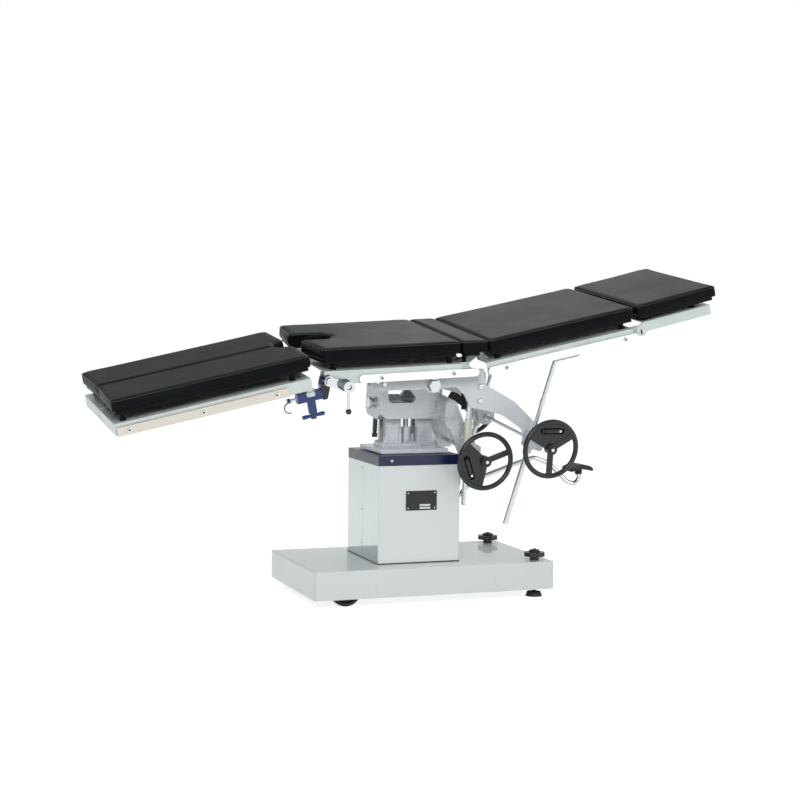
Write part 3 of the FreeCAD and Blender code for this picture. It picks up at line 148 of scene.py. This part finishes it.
def drive(shader, socket, output):
    shader.id_data.links.new(output, shader.inputs[socket])


# Smooth enamel: a faint cloudiness in colour and gloss, and a very fine orange peel.
def paint(name, colour, darker, rough, peel=0.05, coat=0.3, gloss=0.12):
    material, tree, shader = newMaterial(name, Coat_Weight=coat, Coat_Roughness=gloss)
    vector = objectCoords(tree, (1, 1, 1))
    clouds = noise(tree, vector, 9, 3, (-800, 200))
    drive(shader, "Base Color", ramp(tree, clouds, linear(darker), linear(colour), (-500, 300)))
    drive(shader, "Roughness", spread(tree, clouds, rough * 0.85, rough * 1.2, (-500, 0)))
    fine = noise(tree, vector, 420, 2, (-800, -200))
    drive(shader, "Normal", bump(tree, fine, peel, 0.0004, (-300, -200)))
    return material


# Brushed or rolled stainless: streaks along one direction in gloss, colour and height.
def brushed(name, colour, darker, rough, along, streak=0.12, turn=(0, 0, 0)):
    material, tree, shader = newMaterial(name, Metallic=1.0)
    stretch = [700, 700, 700]
    stretch[along] = 9
    vector = objectCoords(tree, stretch, turn)
    streaks = noise(tree, vector, 1, 4, (-800, 200))
    wide = noise(tree, objectCoords(tree, (1, 1, 1)), 5, 2, (-800, -100))
    drive(shader, "Base Color", ramp(tree, streaks, linear(darker), linear(colour), (-500, 300)))
    drive(shader, "Roughness", spread(tree, wide, rough * 0.8, rough * 1.3, (-500, 0)))
    drive(shader, "Normal", bump(tree, streaks, streak, 0.0002, (-300, -200)))
    return material


# Plated or polished steel: a dark tint in the gloss at grazing angles is a painted reflection that darkens
# it towards its edges, with faint smears in the gloss.
def plated(name, colour, edge, rough):
    material, tree, shader = newMaterial(name, Metallic=1.0)
    shader.inputs["Base Color"].default_value = linear(colour)
    shader.inputs["Specular Tint"].default_value = linear(edge)
    smears = noise(tree, objectCoords(tree, (1, 1, 1)), 30, 4, (-800, 0))
    drive(shader, "Roughness", spread(tree, smears, rough * 0.6, rough * 1.6, (-500, 0)))
    return material


# Cast alloy under paint: soft lumps and a sandy grain.
def castPaint(name, colour, darker, rough):
    material, tree, shader = newMaterial(name, Metallic=0.3, Coat_Weight=0.35, Coat_Roughness=0.12)
    vector = objectCoords(tree, (1, 1, 1))
    lumps = noise(tree, vector, 38, 3, (-800, 200))
    grain = noise(tree, vector, 520, 3, (-800, -200))
    drive(shader, "Base Color", ramp(tree, lumps, linear(darker), linear(colour), (-500, 300)))
    drive(shader, "Roughness", spread(tree, lumps, rough * 0.8, rough * 1.2, (-500, 0)))
    rounded = bump(tree, lumps, 0.05, 0.002, (-500, -300))
    drive(shader, "Normal", bump(tree, grain, 0.05, 0.0005, (-300, -200), rounded))
    return material


# Black upholstery vinyl: pebbled grain, slow hollows in the foam and a patchy sheen.
def upholstery(name, colour, paler, rough, shine):
    material, tree, shader = newMaterial(name, Specular_IOR_Level=shine)
    shader.inputs["Specular Tint"].default_value = linear("#e6f2f7")
    vector = objectCoords(tree, (1, 1, 1))
    cells = addNode(tree, "ShaderNodeTexVoronoi", (-800, -250), Scale=620)
    cells.feature = "DISTANCE_TO_EDGE"
    tree.links.new(vector, cells.inputs["Vector"])
    hollows = noise(tree, vector, 7, 1, (-800, -500))
    sheen = noise(tree, vector, 8, 2, (-800, 200))
    drive(shader, "Base Color", ramp(tree, sheen, linear(colour), linear(paler), (-500, 300)))
    drive(shader, "Roughness", spread(tree, sheen, rough * 0.95, rough * 1.08, (-500, 0)))
    soft = bump(tree, hollows, 0.1, 0.003, (-500, -500))
    pebbled = bump(tree, cells.outputs["Distance"], 0.35, 0.0003, (-300, -300), soft)
    drive(shader, "Normal", pebbled)
    return material


# Moulded plastic or rubber: fine spark texture and slight gloss changes.
def moulded(name, colour, paler, rough, grain=0.18, scale=900, shine=0.5):
    material, tree, shader = newMaterial(name, Specular_IOR_Level=shine)
    vector = objectCoords(tree, (1, 1, 1))
    clouds = noise(tree, vector, 24, 3, (-800, 200))
    spark = noise(tree, vector, scale, 2, (-800, -200))
    drive(shader, "Base Color", ramp(tree, clouds, linear(colour), linear(paler), (-500, 300)))
    drive(shader, "Roughness", spread(tree, clouds, rough * 0.85, rough * 1.2, (-500, 0)))
    drive(shader, "Normal", bump(tree, spark, grain, 0.0004, (-300, -200)))
    return material


legTurn = legAt.inverted().to_euler()

finishes = {
    "vinyl": upholstery("blackUpholsteryVinyl", "#06080a", "#0c0e10", 0.42, 0.09),
    "piping": upholstery("vinylPiping", "#0e1113", "#15181a", 0.3, 0.5),
    "board": moulded("blackLaminateBoard", "#060708", "#0c0d0e", 0.55, 0.03, 900, 0.12),
    "basePaint": paint("satinBaseEnamel", "#e4e9e8", "#e2e7e6", 0.35, 0, 0.75, 0.09),
    "warmSteel": brushed("warmRolledSteel", "#cbc6bd", "#bfbab1", 0.3, 0, 0.05, legTurn),
    "mirrorSteel": brushed("mirrorSidePanel", "#bec6c6", "#b5bdbd", 0.1, 2, 0.02),
    "railSteel": brushed("polishedRail", "#eceff0", "#dfe3e5", 0.2, 0, 0.06),
    "sheetSteel": brushed("bareChassisTube", "#8c8e8f", "#7a7c7d", 0.4, 0, 0.1),
    "groundSteel": brushed("groundScrewRod", "#d2d5d7", "#b9bdc0", 0.24, 2, 0.1),
    "chrome": plated("chromePlate", "#c6cacd", "#5c6268", 0.08),
    "trayPaint": paint("paleMintEnamel", "#dfe8e4", "#d6dfdb", 0.28),
    "platePaint": paint("silverPlateEnamel", "#dde1e6", "#d4d8dd", 0.28),
    "castGrey": castPaint("castSilverEnamel", "#c9cdd2", "#c1c5ca", 0.28),
    "ivory": castPaint("ivoryEnamel", "#dedccd", "#d2d0c2", 0.32),
    "navy": paint("navyBand", "#121a48", "#0e153c", 0.3, 0.04, 0.08),
    "blue": paint("blueLockEnamel", "#0e3574", "#0a2c64", 0.3, 0.05, 0.15),
    "ballBlack": moulded("glossBlackBall", "#08080a", "#0e0e10", 0.16, 0.02),
    "wheelBlack": moulded("blackPhenolicWheel", "#0b0b0c", "#141416", 0.32, 0.08),
    "knobBlack": moulded("darkPhenolicKnob", "#140d0e", "#1f1516", 0.3, 0.06),
    "rubber": moulded("tyreRubber", "#101010", "#1b1a1a", 0.62, 0.3, 500),
    "plate": moulded("blackNamePlate", "#0d0d0e", "#151517", 0.35, 0.05),
}

nodeFinish = {
    "vinyl": ["seat_pad", "kidney_pad", "back_pad", "head_pad", "leg_pad_near", "leg_pad_far"],
    "board": ["seat_board", "kidney_board", "back_board", "head_board", "leg_board_near", "leg_board_far"],
    "basePaint": ["base_cover", "column_cover"],
    "mirrorSteel": ["column_side_panels"],
    "railSteel": ["seat_rails", "back_rails"],
    "sheetSteel": ["base_chassis", "inner_column"],
    "groundSteel": ["pitch_screws", "back_screws", "pitch_shaft", "back_shaft", "tilt_pin"],
    "chrome": ["panel_screws", "clamp_body", "clamp_lever", "pitch_axle", "pedal_lever", "lock_handle_far"],
    "trayPaint": ["leg_frame_near", "leg_frame_far", "seat_frame", "back_frame", "head_frame"],
    "platePaint": ["side_plates", "head_plate"],
    "castGrey": ["fork", "cradle", "back_gearboxes"],
    "ivory": ["pitch_gearboxes"],
    "navy": ["column_cap"],
    "blue": ["leg_lock_near", "leg_lock_far", "lock_handle_near"],
    "wheelBlack": [
        "pitch_wheel",
        "back_wheels",
        "pitch_grip",
        "back_grip_near",
        "back_grip_far",
        "head_lock",
    ],
    "knobBlack": ["brake_knob_near", "brake_knob_far", "tilt_buffer"],
    "rubber": ["pedal_pad", "wheel_near", "wheel_far", "brake_foot_near", "brake_foot_far"],
    "plate": ["nameplate"],
}


def dress(obj, finish):
    obj.data.materials.clear()
    obj.data.materials.append(finishes[finish])


for finish, names in nodeFinish.items():
    for name in names:
        dress(nodes[name], finish)

barDress = {"inner": 0.2375, "outer": 0.2462, "foot": -0.65, "hip": -0.124}


# The bars on the leg trays are bare steel, while the trays are painted.
def dressBar(node):
    mesh = nodes[node].data
    mesh.materials.append(finishes["warmSteel"])
    toLevel = legAt.inverted()
    for face in mesh.polygons:
        centre = toLevel @ face.center
        beside = barDress["inner"] < abs(centre.y) < barDress["outer"]
        if beside and barDress["foot"] < centre.x < barDress["hip"]:
            face.material_index = 1


lockDress = {
    "swivel": (-0.056, 0.215),
    "collar": (0.0165, 0.0192),
    "collarFoot": -0.0395,
    "collarOut": 0.2275,
    "bracketFrom": -0.0165,
    "screw": (-0.1215, -0.1005),
}


# The hinge bracket on the blue lock casting is black, its collar pale and its screw bright.
def dressBracket(node):
    mesh = nodes[node].data
    for finish in ("knobBlack", "chrome", "trayPaint"):
        mesh.materials.append(finishes[finish])
    toLevel = legAt.inverted()
    swivelX, swivelY = lockDress["swivel"]
    inner, outer = lockDress["collar"]
    screwFrom, screwTo = lockDress["screw"]
    for face in mesh.polygons:
        centre = toLevel @ face.center
        fromSwivel = math.hypot(centre.x - swivelX, abs(centre.y) - swivelY)
        if centre.x > lockDress["bracketFrom"]:
            face.material_index = 1
            continue
        if screwFrom < centre.x < screwTo:
            face.material_index = 2
            continue
        outside = centre.z > lockDress["collarFoot"] and abs(centre.y) > lockDress["collarOut"]
        if outside and inner < fromSwivel < outer:
            face.material_index = 3


# Radius of the black disc painted into a screw's socket as painted shade.
paintedShadeSocketRadius = 0.0037
proud = 0.0002
legSpots = ((-0.62, -0.0065), (-0.394, -0.0065), (-0.166, -0.0065))
fasteners = {
    "side_plates": {
        "at": seatAt,
        "plane": 0.1942,
        "spots": ((0.173, -0.154), (0.17, -0.2), (-0.172, -0.118), (-0.15, -0.128)),
        "socket": 0,
    },
    "back_frame": {"at": backAt, "plane": 0.2366, "spots": ((0.536, -0.041),)},
    "seat_rails": {"at": seatAt, "plane": 0.246, "spots": ((-0.176, -0.0975), (0.061, -0.0975))},
    "back_rails": {"at": backAt, "plane": 0.246, "spots": ((0.053, -0.0515), (0.472, -0.0515))},
    "leg_frame_near": {"at": legAt, "plane": 0.246, "spots": legSpots},
    "leg_frame_far": {"at": legAt, "plane": 0.246, "spots": legSpots},
}


# Screws, bolts and pin ends are bright, and a black disc is painted into each screw's hexagon socket as
# painted shade in the recess.
def dressScrews(node, made):
    mesh = nodes[node].data
    bright = len(mesh.materials)
    for finish in ("chrome", "ballBlack"):
        mesh.materials.append(finishes[finish])
    toLevel = made["at"].inverted()
    for face in mesh.polygons:
        centre = toLevel @ face.center
        if abs(centre.y) < made["plane"] + proud:
            continue
        reach = min(math.hypot(centre.x - x, centre.z - z) for x, z in made["spots"])
        face.material_index = bright + 1 if reach < made.get("socket", paintedShadeSocketRadius) else bright


ballDress = {"at": (-0.294, -0.276, -0.189), "radius": 0.0098}


# The tommy bar ends in a black ball.
def dressBall():
    mesh = nodes["clamp_lever"].data
    mesh.materials.append(finishes["ballBlack"])
    centre = seatAt @ Vector(ballDress["at"])
    for face in mesh.polygons:
        if (face.center - centre).length < ballDress["radius"]:
            face.material_index = 1


for side in ("near", "far"):
    dressBar("leg_frame_" + side)
    dressBracket("leg_lock_" + side)
for node, made in fasteners.items():
    dressScrews(node, made)
dressBall()
print("dressed the CAD nodes")


def onlySelect(obj):
    bpy.ops.object.select_all(action="DESELECT")
    obj.select_set(True)
    bpy.context.view_layer.objects.active = obj


def applyModifier(obj, kind, **settings):
    modifier = obj.modifiers.new(kind.lower(), kind)
    for key, value in settings.items():
        setattr(modifier, key, value)
    onlySelect(obj)
    bpy.ops.object.modifier_apply(modifier=modifier.name)


def readPoints(mesh):
    points = np.empty(len(mesh.vertices) * 3)
    mesh.vertices.foreach_get("co", points)
    return points.reshape(-1, 3)


def writePoints(mesh, points):
    mesh.vertices.foreach_set("co", points.ravel())
    mesh.update()


padSettings = {
    "voxel": 0.0045,
    "shrink": 0.0008,
    "pressure": 3.0,
    "cap": 0.0026,
    "topCap": 0.0022,
    "frames": 16,
    "held": 0.002,
    "steps": 4,
    "mass": 0.4,
    "stretch": 30,
    "bending": 3,
    "smooth": 0.5,
}

pads = {
    "seat": {"node": "seat_pad", "body": "seat", "at": seatAt, "fill": 0.85, "grow": (0, 0.0045)},
    "kidney": {"node": "kidney_pad", "body": "kidney", "at": seatAt, "fill": 0.85, "grow": (0.006, 0.006)},
    "back": {"node": "back_pad", "body": "back", "at": backAt, "fill": 0.85, "grow": (0.003, 0.001)},
    "head": {"node": "head_pad", "body": "head", "at": headAt, "fill": 0.85, "grow": (0.001, 0)},
    "legNear": {"node": "leg_pad_near", "body": "leg_near", "at": legAt, "fill": 0.85, "grow": (0, 0)},
    "legFar": {"node": "leg_pad_far", "body": "leg_far", "at": legAt, "fill": 0.85, "grow": (0, 0)},
}


# A copy of a node's mesh, brought level in its own section's frame.
def levelCopy(name, node, at):
    obj = bpy.data.objects.new(name, nodes[node].data.copy())
    bpy.context.scene.collection.objects.link(obj)
    obj.data.transform(at.inverted())
    return obj


# Soft ends reach a little further along the table than the solid pads.
def growPad(obj, grow):
    points = readPoints(obj.data)
    low, high = points[:, 0].min(), points[:, 0].max()
    share = (points[:, 0] - low) / (high - low)
    points[:, 0] += share * grow[1] - (1 - share) * grow[0]
    writePoints(obj.data, points)


# Leaves room for the cushion to swell, and returns the height of its underside.
def shrinkPad(obj):
    points = readPoints(obj.data)
    low, high = points.min(0), points.max(0)
    middle = (low + high) / 2
    middle[2] = low[2]
    size = high - low
    factor = (size - 2 * padSettings["shrink"]) / size
    factor[2] = (size[2] - padSettings["shrink"]) / size[2]
    writePoints(obj.data, middle + (points - middle) * factor)
    return low[2]


# Air pressure swells the cover like cloth, held at the underside and capped all over.
def swell(obj, floor):
    start = readPoints(obj.data)
    pinned = [int(i) for i in np.nonzero(start[:, 2] < floor + padSettings["held"])[0]]
    group = obj.vertex_groups.new(name="held")
    group.add(pinned, 1.0, "REPLACE")
    cloth = obj.modifiers.new("cloth", "CLOTH")
    cloth.settings.quality = padSettings["steps"]
    cloth.settings.mass = padSettings["mass"]
    cloth.settings.tension_stiffness = padSettings["stretch"]
    cloth.settings.compression_stiffness = padSettings["stretch"]
    cloth.settings.bending_stiffness = padSettings["bending"]
    cloth.settings.use_pressure = True
    cloth.settings.uniform_pressure_force = padSettings["pressure"]
    cloth.settings.vertex_group_mass = "held"
    cloth.settings.effector_weights.gravity = 0
    scene = bpy.context.scene
    for number in range(1, padSettings["frames"] + 1):
        scene.frame_set(number)
    grown = obj.evaluated_get(bpy.context.evaluated_depsgraph_get())
    end = readPoints(grown.data)
    obj.modifiers.remove(cloth)
    scene.frame_set(1)
    move = end - start
    length = np.maximum(np.linalg.norm(move, axis=1), 1e-9)
    move *= np.minimum(1, padSettings["cap"] / length)[:, None]
    move[:, 2] = np.clip(move[:, 2], 0, padSettings["topCap"])
    writePoints(obj.data, start + move)


def makePad(key, made):
    obj = levelCopy(key + "Cushion", made["node"], made["at"])
    obj.data.materials.clear()
    growPad(obj, made["grow"])
    applyModifier(obj, "REMESH", mode="VOXEL", voxel_size=padSettings["voxel"], use_smooth_shade=True)
    floor = shrinkPad(obj)
    swell(obj, floor)
    applyModifier(obj, "SMOOTH", factor=padSettings["smooth"], iterations=1)
    applyModifier(obj, "SUBSURF", levels=1)
    onlySelect(obj)
    bpy.ops.object.shade_smooth()
    dress(obj, "vinyl")
    obj.data.transform(made["at"])
    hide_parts(made["node"])
    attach(obj, made["body"])
    print("cushion", key, len(obj.data.polygons))
    return obj


weltSettings = {"radius": 0.0011, "drop": 0.0035, "out": 0.0002, "join": 0.00001, "sides": 2}


# A thin sewn welt that runs round the cushion just under its top edge.
def makeWelt(key, made, cushion):
    obj = levelCopy(key + "Welt", made["node"], made["at"])
    growPad(obj, made["grow"])
    top = max(v.co.z for v in obj.data.vertices)
    onlySelect(obj)
    bpy.ops.object.mode_set(mode="EDIT")
    bpy.ops.mesh.select_all(action="SELECT")
    bpy.ops.mesh.remove_doubles(threshold=weltSettings["join"])
    cutAt = (0, 0, top - weltSettings["drop"])
    bpy.ops.mesh.bisect(plane_co=cutAt, plane_no=(0, 0, 1), clear_inner=True, clear_outer=True)
    bpy.ops.object.mode_set(mode="OBJECT")
    obj.data.transform(made["at"])
    offset = weltSettings["out"]
    applyModifier(obj, "SHRINKWRAP", target=cushion, wrap_method="NEAREST_SURFACEPOINT", offset=offset)
    onlySelect(obj)
    bpy.ops.object.convert(target="CURVE")
    obj.data.bevel_depth = weltSettings["radius"]
    obj.data.bevel_resolution = weltSettings["sides"]
    bpy.ops.object.convert(target="MESH")
    bpy.ops.object.shade_smooth()
    dress(obj, "piping")
    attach(obj, made["body"])
    return obj


cushions = {key: makePad(key, made) for key, made in pads.items()}
welts = {key: makeWelt(key, made, cushions[key]) for key, made in pads.items()}
print("sewed the welts")

# The kidney cushion and its welt get meshes of their own, as the raised back cushion presses the kidney
# cushion towards its edge at the seat.
for soft in (cushions["kidney"], welts["kidney"]):
    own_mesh(soft)

handwheels = {
    "pitch": {
        "at": cradleAt,
        "hub": (0.192, -0.241, -0.146),
        "spoke": 140,
        "far": 1,
        "body": "pitch_drive",
        "grip": "pitch_grip",
        "end": -1,
    },
    "backNear": {
        "at": seatAt,
        "hub": (0.357, -0.331, -0.34),
        "spoke": 27,
        "far": 1,
        "body": "back_drive",
        "grip": "back_grip_near",
        "end": 1,
    },
    "backFar": {
        "at": seatAt,
        "hub": (0.357, 0.331, -0.34),
        "spoke": 27,
        "far": -1,
        "body": "back_drive",
        "grip": "back_grip_far",
        "end": 1,
    },
}

wheelTrim = {
    "windowTurn": 30,
    "gripAt": 0.058,
    "panHalf": (0.0435, 0.0145),
    "panDepth": (0.0035, 0.0105),
    "panWall": 0.0025,
    "panFloor": 0.0015,
    "panEdge": 0.0012,
    "hubScrew": 0.0055,
    "hubFace": -0.018,
    "gripScrew": 0.0042,
    "gripFace": -0.0085,
    "gripEnd": 0.026,
    "screwDepth": 0.0024,
    "screwEdge": 0.0009,
}


# Names a trim piece, puts it in its place and gives it to its body.
def settle(obj, name, finish, matrix, body, smooth=30):
    obj.name = name
    obj.data.transform(matrix @ obj.matrix_world)
    if matrix.determinant() < 0:
        obj.data.flip_normals()
    obj.matrix_world = Matrix.Identity(4)
    onlySelect(obj)
    bpy.ops.object.shade_smooth_by_angle(angle=math.radians(smooth))
    dress(obj, finish)
    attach(obj, body)


def wheelMatrix(made):
    facing = Matrix.Diagonal((1, made["far"], 1, 1))
    roll = Matrix.Rotation(-math.radians(made["spoke"] - wheelTrim["windowTurn"]), 4, "Y")
    return made["at"] @ Matrix.Translation(made["hub"]) @ facing @ roll


# A shallow pan closes the back of the window that the folding grip lies in.
def makePan(key, made):
    halfX, halfZ = wheelTrim["panHalf"]
    y0, y1 = wheelTrim["panDepth"]
    bpy.ops.mesh.primitive_cube_add(size=1, location=(0, (y0 + y1) / 2, wheelTrim["gripAt"]))
    pan = bpy.context.object
    pan.scale = (2 * halfX, y1 - y0, 2 * halfZ)
    onlySelect(pan)
    bpy.ops.object.transform_apply(scale=True, location=False, rotation=False)
    bpy.ops.object.mode_set(mode="EDIT")
    bpy.ops.mesh.select_all(action="DESELECT")
    bpy.ops.object.mode_set(mode="OBJECT")
    for face in pan.data.polygons:
        face.select = face.normal.y < -0.9
    bpy.ops.object.mode_set(mode="EDIT")
    bpy.ops.mesh.select_mode(type="FACE")
    bpy.ops.mesh.inset(thickness=wheelTrim["panWall"])
    sunk = y1 - y0 - wheelTrim["panFloor"]
    bpy.ops.mesh.extrude_region_move(TRANSFORM_OT_translate={"value": (0, sunk, 0)})
    bpy.ops.mesh.select_all(action="SELECT")
    bpy.ops.mesh.normals_make_consistent(inside=False)
    bpy.ops.object.mode_set(mode="OBJECT")
    applyModifier(pan, "BEVEL", width=wheelTrim["panEdge"], segments=2, limit_method="ANGLE")
    settle(pan, key + "GripPan", "wheelBlack", wheelMatrix(made), made["body"])


# Domed bright screws in the hub and in the end of the grip.
def makeBrightScrew(name, at, radius, matrix, body):
    depth = wheelTrim["screwDepth"]
    bpy.ops.mesh.primitive_cylinder_add(vertices=32, radius=radius, depth=depth, location=at)
    screw = bpy.context.object
    screw.rotation_euler = (math.radians(90), 0, 0)
    onlySelect(screw)
    bpy.ops.object.transform_apply(rotation=True, location=False, scale=False)
    applyModifier(screw, "BEVEL", width=wheelTrim["screwEdge"], segments=3, limit_method="ANGLE")
    settle(screw, name, "chrome", matrix, body, 40)


for key, made in handwheels.items():
    makePan(key, made)
    place = wheelMatrix(made)
    hubAt = (0, wheelTrim["hubFace"], 0)
    gripAt = (made["end"] * wheelTrim["gripEnd"], wheelTrim["gripFace"], wheelTrim["gripAt"])
    makeBrightScrew(key + "HubScrew", hubAt, wheelTrim["hubScrew"], place, made["body"])
    makeBrightScrew(key + "GripScrew", gripAt, wheelTrim["gripScrew"], place, made["grip"])
print("trimmed the handwheels")

plateTrim = {
    "x": 0.018,
    "face": -0.1493,
    "heights": (0.301, 0.292),
    "size": (0.036, 0.0004, 0.006),
    "edge": 0.0001,
}


# Blank pale fields on the bare plate.
def makeField(name, z):
    at = (plateTrim["x"], plateTrim["face"], z)
    bpy.ops.mesh.primitive_cube_add(size=1, location=at)
    field = bpy.context.object
    field.scale = plateTrim["size"]
    onlySelect(field)
    bpy.ops.object.transform_apply(scale=True, location=False, rotation=False)
    applyModifier(field, "BEVEL", width=plateTrim["edge"], segments=1)
    settle(field, name, "basePaint", Matrix.Identity(4), "base")


for number, z in enumerate(plateTrim["heights"]):
    makeField("plateBar%d" % number, z)
print("marked out the plate")

# Size and place of the black strip that is painted shadow in the gap under the column's cover.
shadowGapStripSettings = {"size": (0.276, 0.299, 0.003), "at": (0, 0, 0.1185)}


# A black strip in the gap between the column's cover and the base: painted shadow, standing in for the
# shade in that gap.
def makeShadowGapStrip():
    bpy.ops.mesh.primitive_cube_add(size=1, location=shadowGapStripSettings["at"])
    shadowStrip = bpy.context.object
    shadowStrip.name = "columnShadowGapStrip"
    shadowStrip.scale = shadowGapStripSettings["size"]
    bpy.ops.object.transform_apply(location=True, rotation=False, scale=True)
    dress(shadowStrip, "ballBlack")
    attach(shadowStrip, "base")


makeShadowGapStrip()
# The black strip at the column's foot is painted shadow for the gap there.
print("sealed the column's foot")

stageSettings = {"floor": 30.0, "white": "#c8c8c6", "rough": 0.9, "glow": 0.84}


# A glow that only camera and mirror rays see turns the lit floor white and leaves its shadows.
def whiteForCamera(material, colour):
    tree = material.node_tree
    shader = tree.nodes["Principled BSDF"]
    shader.inputs["Base Color"].default_value = linear(colour)
    shader.inputs["Roughness"].default_value = stageSettings["rough"]
    path = addNode(tree, "ShaderNodeLightPath", (-600, 300))
    seen = addNode(tree, "ShaderNodeMath", (-400, 300))
    seen.operation = "MAXIMUM"
    tree.links.new(path.outputs["Is Camera Ray"], seen.inputs[0])
    tree.links.new(path.outputs["Is Glossy Ray"], seen.inputs[1])
    level = addNode(tree, "ShaderNodeMath", (-300, 300))
    level.operation = "MULTIPLY"
    level.inputs[1].default_value = stageSettings["glow"]
    tree.links.new(seen.outputs["Value"], level.inputs[0])
    glow = addNode(tree, "ShaderNodeEmission", (-100, 300))
    glow.inputs["Color"].default_value = (1, 1, 1, 1)
    tree.links.new(level.outputs["Value"], glow.inputs["Strength"])
    both = addNode(tree, "ShaderNodeAddShader", (100, 300))
    tree.links.new(shader.outputs["BSDF"], both.inputs[0])
    tree.links.new(glow.outputs["Emission"], both.inputs[1])
    tree.links.new(both.outputs["Shader"], tree.nodes["Material Output"].inputs["Surface"])


def makeFloor():
    bpy.ops.mesh.primitive_plane_add(size=stageSettings["floor"], location=(0, 0, 0))
    floor = bpy.context.object
    floor.name = "floor"
    material = newMaterial("paleFloor")[0]
    whiteForCamera(material, stageSettings["white"])
    floor.data.materials.append(material)


lampAim = (0, 0, 0.6)
lights = {
    "key": {"at": (-1.9, -4.0, 2.6), "size": 2.2, "power": 106},
    "fill": {"at": (3.4, -3.0, 1.8), "size": 2.4, "power": 34},
    "top": {"at": (0.4, 0.6, 4.2), "size": 3.0, "power": 42},
    "rim": {"at": (1.8, 3.4, 2.6), "size": 2.2, "power": 10},
}


def makeLights():
    for name, lit in lights.items():
        bpy.ops.object.light_add(type="AREA", location=lit["at"])
        lamp = bpy.context.object
        lamp.name = name
        lamp.data.shape = "DISK"
        lamp.data.size = lit["size"]
        lamp.data.energy = lit["power"]
        heading = Vector(lampAim) - lamp.location
        lamp.rotation_euler = heading.to_track_quat("-Z", "Y").to_euler()


roomSettings = {
    "ambient": 0.33,
    "tint": (0.84, 0.88, 0.92, 1),
    "bands": ((0.0, 1.0), (0.1, 1.0), (0.2, 0.5), (0.45, 0.6), (1.0, 0.65)),
    "cool": (0.95, 0.98, 1),
}


# Pale walls near the floor and a darker ceiling, seen only in reflections.
def makeWorld():
    world = bpy.data.worlds.new("studio")
    bpy.context.scene.world = world
    world.use_nodes = True
    tree = world.node_tree
    room = tree.nodes["Background"]
    room.inputs["Color"].default_value = roomSettings["tint"]
    room.inputs["Strength"].default_value = roomSettings["ambient"]
    mirrored = addNode(tree, "ShaderNodeBackground", (-200, -300))
    coords = addNode(tree, "ShaderNodeTexCoord", (-1000, -300))
    axes = addNode(tree, "ShaderNodeSeparateXYZ", (-800, -300))
    height = addNode(tree, "ShaderNodeValToRGB", (-500, -300))
    tree.links.new(coords.outputs["Generated"], axes.inputs["Vector"])
    tree.links.new(axes.outputs["Z"], height.inputs["Fac"])
    tree.links.new(height.outputs["Color"], mirrored.inputs["Color"])
    bands = height.color_ramp.elements
    for number, (level, grey) in enumerate(roomSettings["bands"]):
        band = bands[number] if number < 2 else bands.new(level)
        band.position = level
        band.color = [grey * part for part in roomSettings["cool"]] + [1]
    seen = addNode(tree, "ShaderNodeBackground", (-200, -500), Strength=1.0)
    seen.inputs["Color"].default_value = (1, 1, 1, 1)
    path = addNode(tree, "ShaderNodeLightPath", (-400, 200))
    gloss = addNode(tree, "ShaderNodeMixShader", (0, 0))
    mix = addNode(tree, "ShaderNodeMixShader", (200, 0))
    tree.links.new(path.outputs["Is Glossy Ray"], gloss.inputs["Fac"])
    tree.links.new(room.outputs["Background"], gloss.inputs[1])
    tree.links.new(mirrored.outputs["Background"], gloss.inputs[2])
    tree.links.new(path.outputs["Is Camera Ray"], mix.inputs["Fac"])
    tree.links.new(gloss.outputs["Shader"], mix.inputs[1])
    tree.links.new(seen.outputs["Background"], mix.inputs[2])
    tree.links.new(mix.outputs["Shader"], tree.nodes["World Output"].inputs["Surface"])


def makeCamera():
    azimuth = math.radians(view["azimuth"])
    elevation = math.radians(view["elevation"])
    roll = math.radians(view["roll"])
    level = math.cos(elevation)
    back = Vector((math.sin(azimuth) * level, -math.cos(azimuth) * level, math.sin(elevation)))
    right = Vector((math.cos(azimuth), math.sin(azimuth), 0))
    up = back.cross(right)
    across = right * math.cos(roll) + up * math.sin(roll)
    above = up * math.cos(roll) - right * math.sin(roll)
    place = Vector(view["aim"]) + back * view["distance"]
    data = bpy.data.cameras.new("camera")
    data.lens = view["lens"]
    data.sensor_width = view["film"]
    data.clip_end = view["far"]
    camera = bpy.data.objects.new("camera", data)
    bpy.context.scene.collection.objects.link(camera)
    turn = Matrix((across, above, back)).transposed().to_4x4()
    camera.matrix_world = Matrix.Translation(place) @ turn
    bpy.context.scene.camera = camera


makeFloor()
makeLights()
makeWorld()
makeCamera()
bpy.context.scene.view_settings.view_transform = "Standard"
print("set the stage")

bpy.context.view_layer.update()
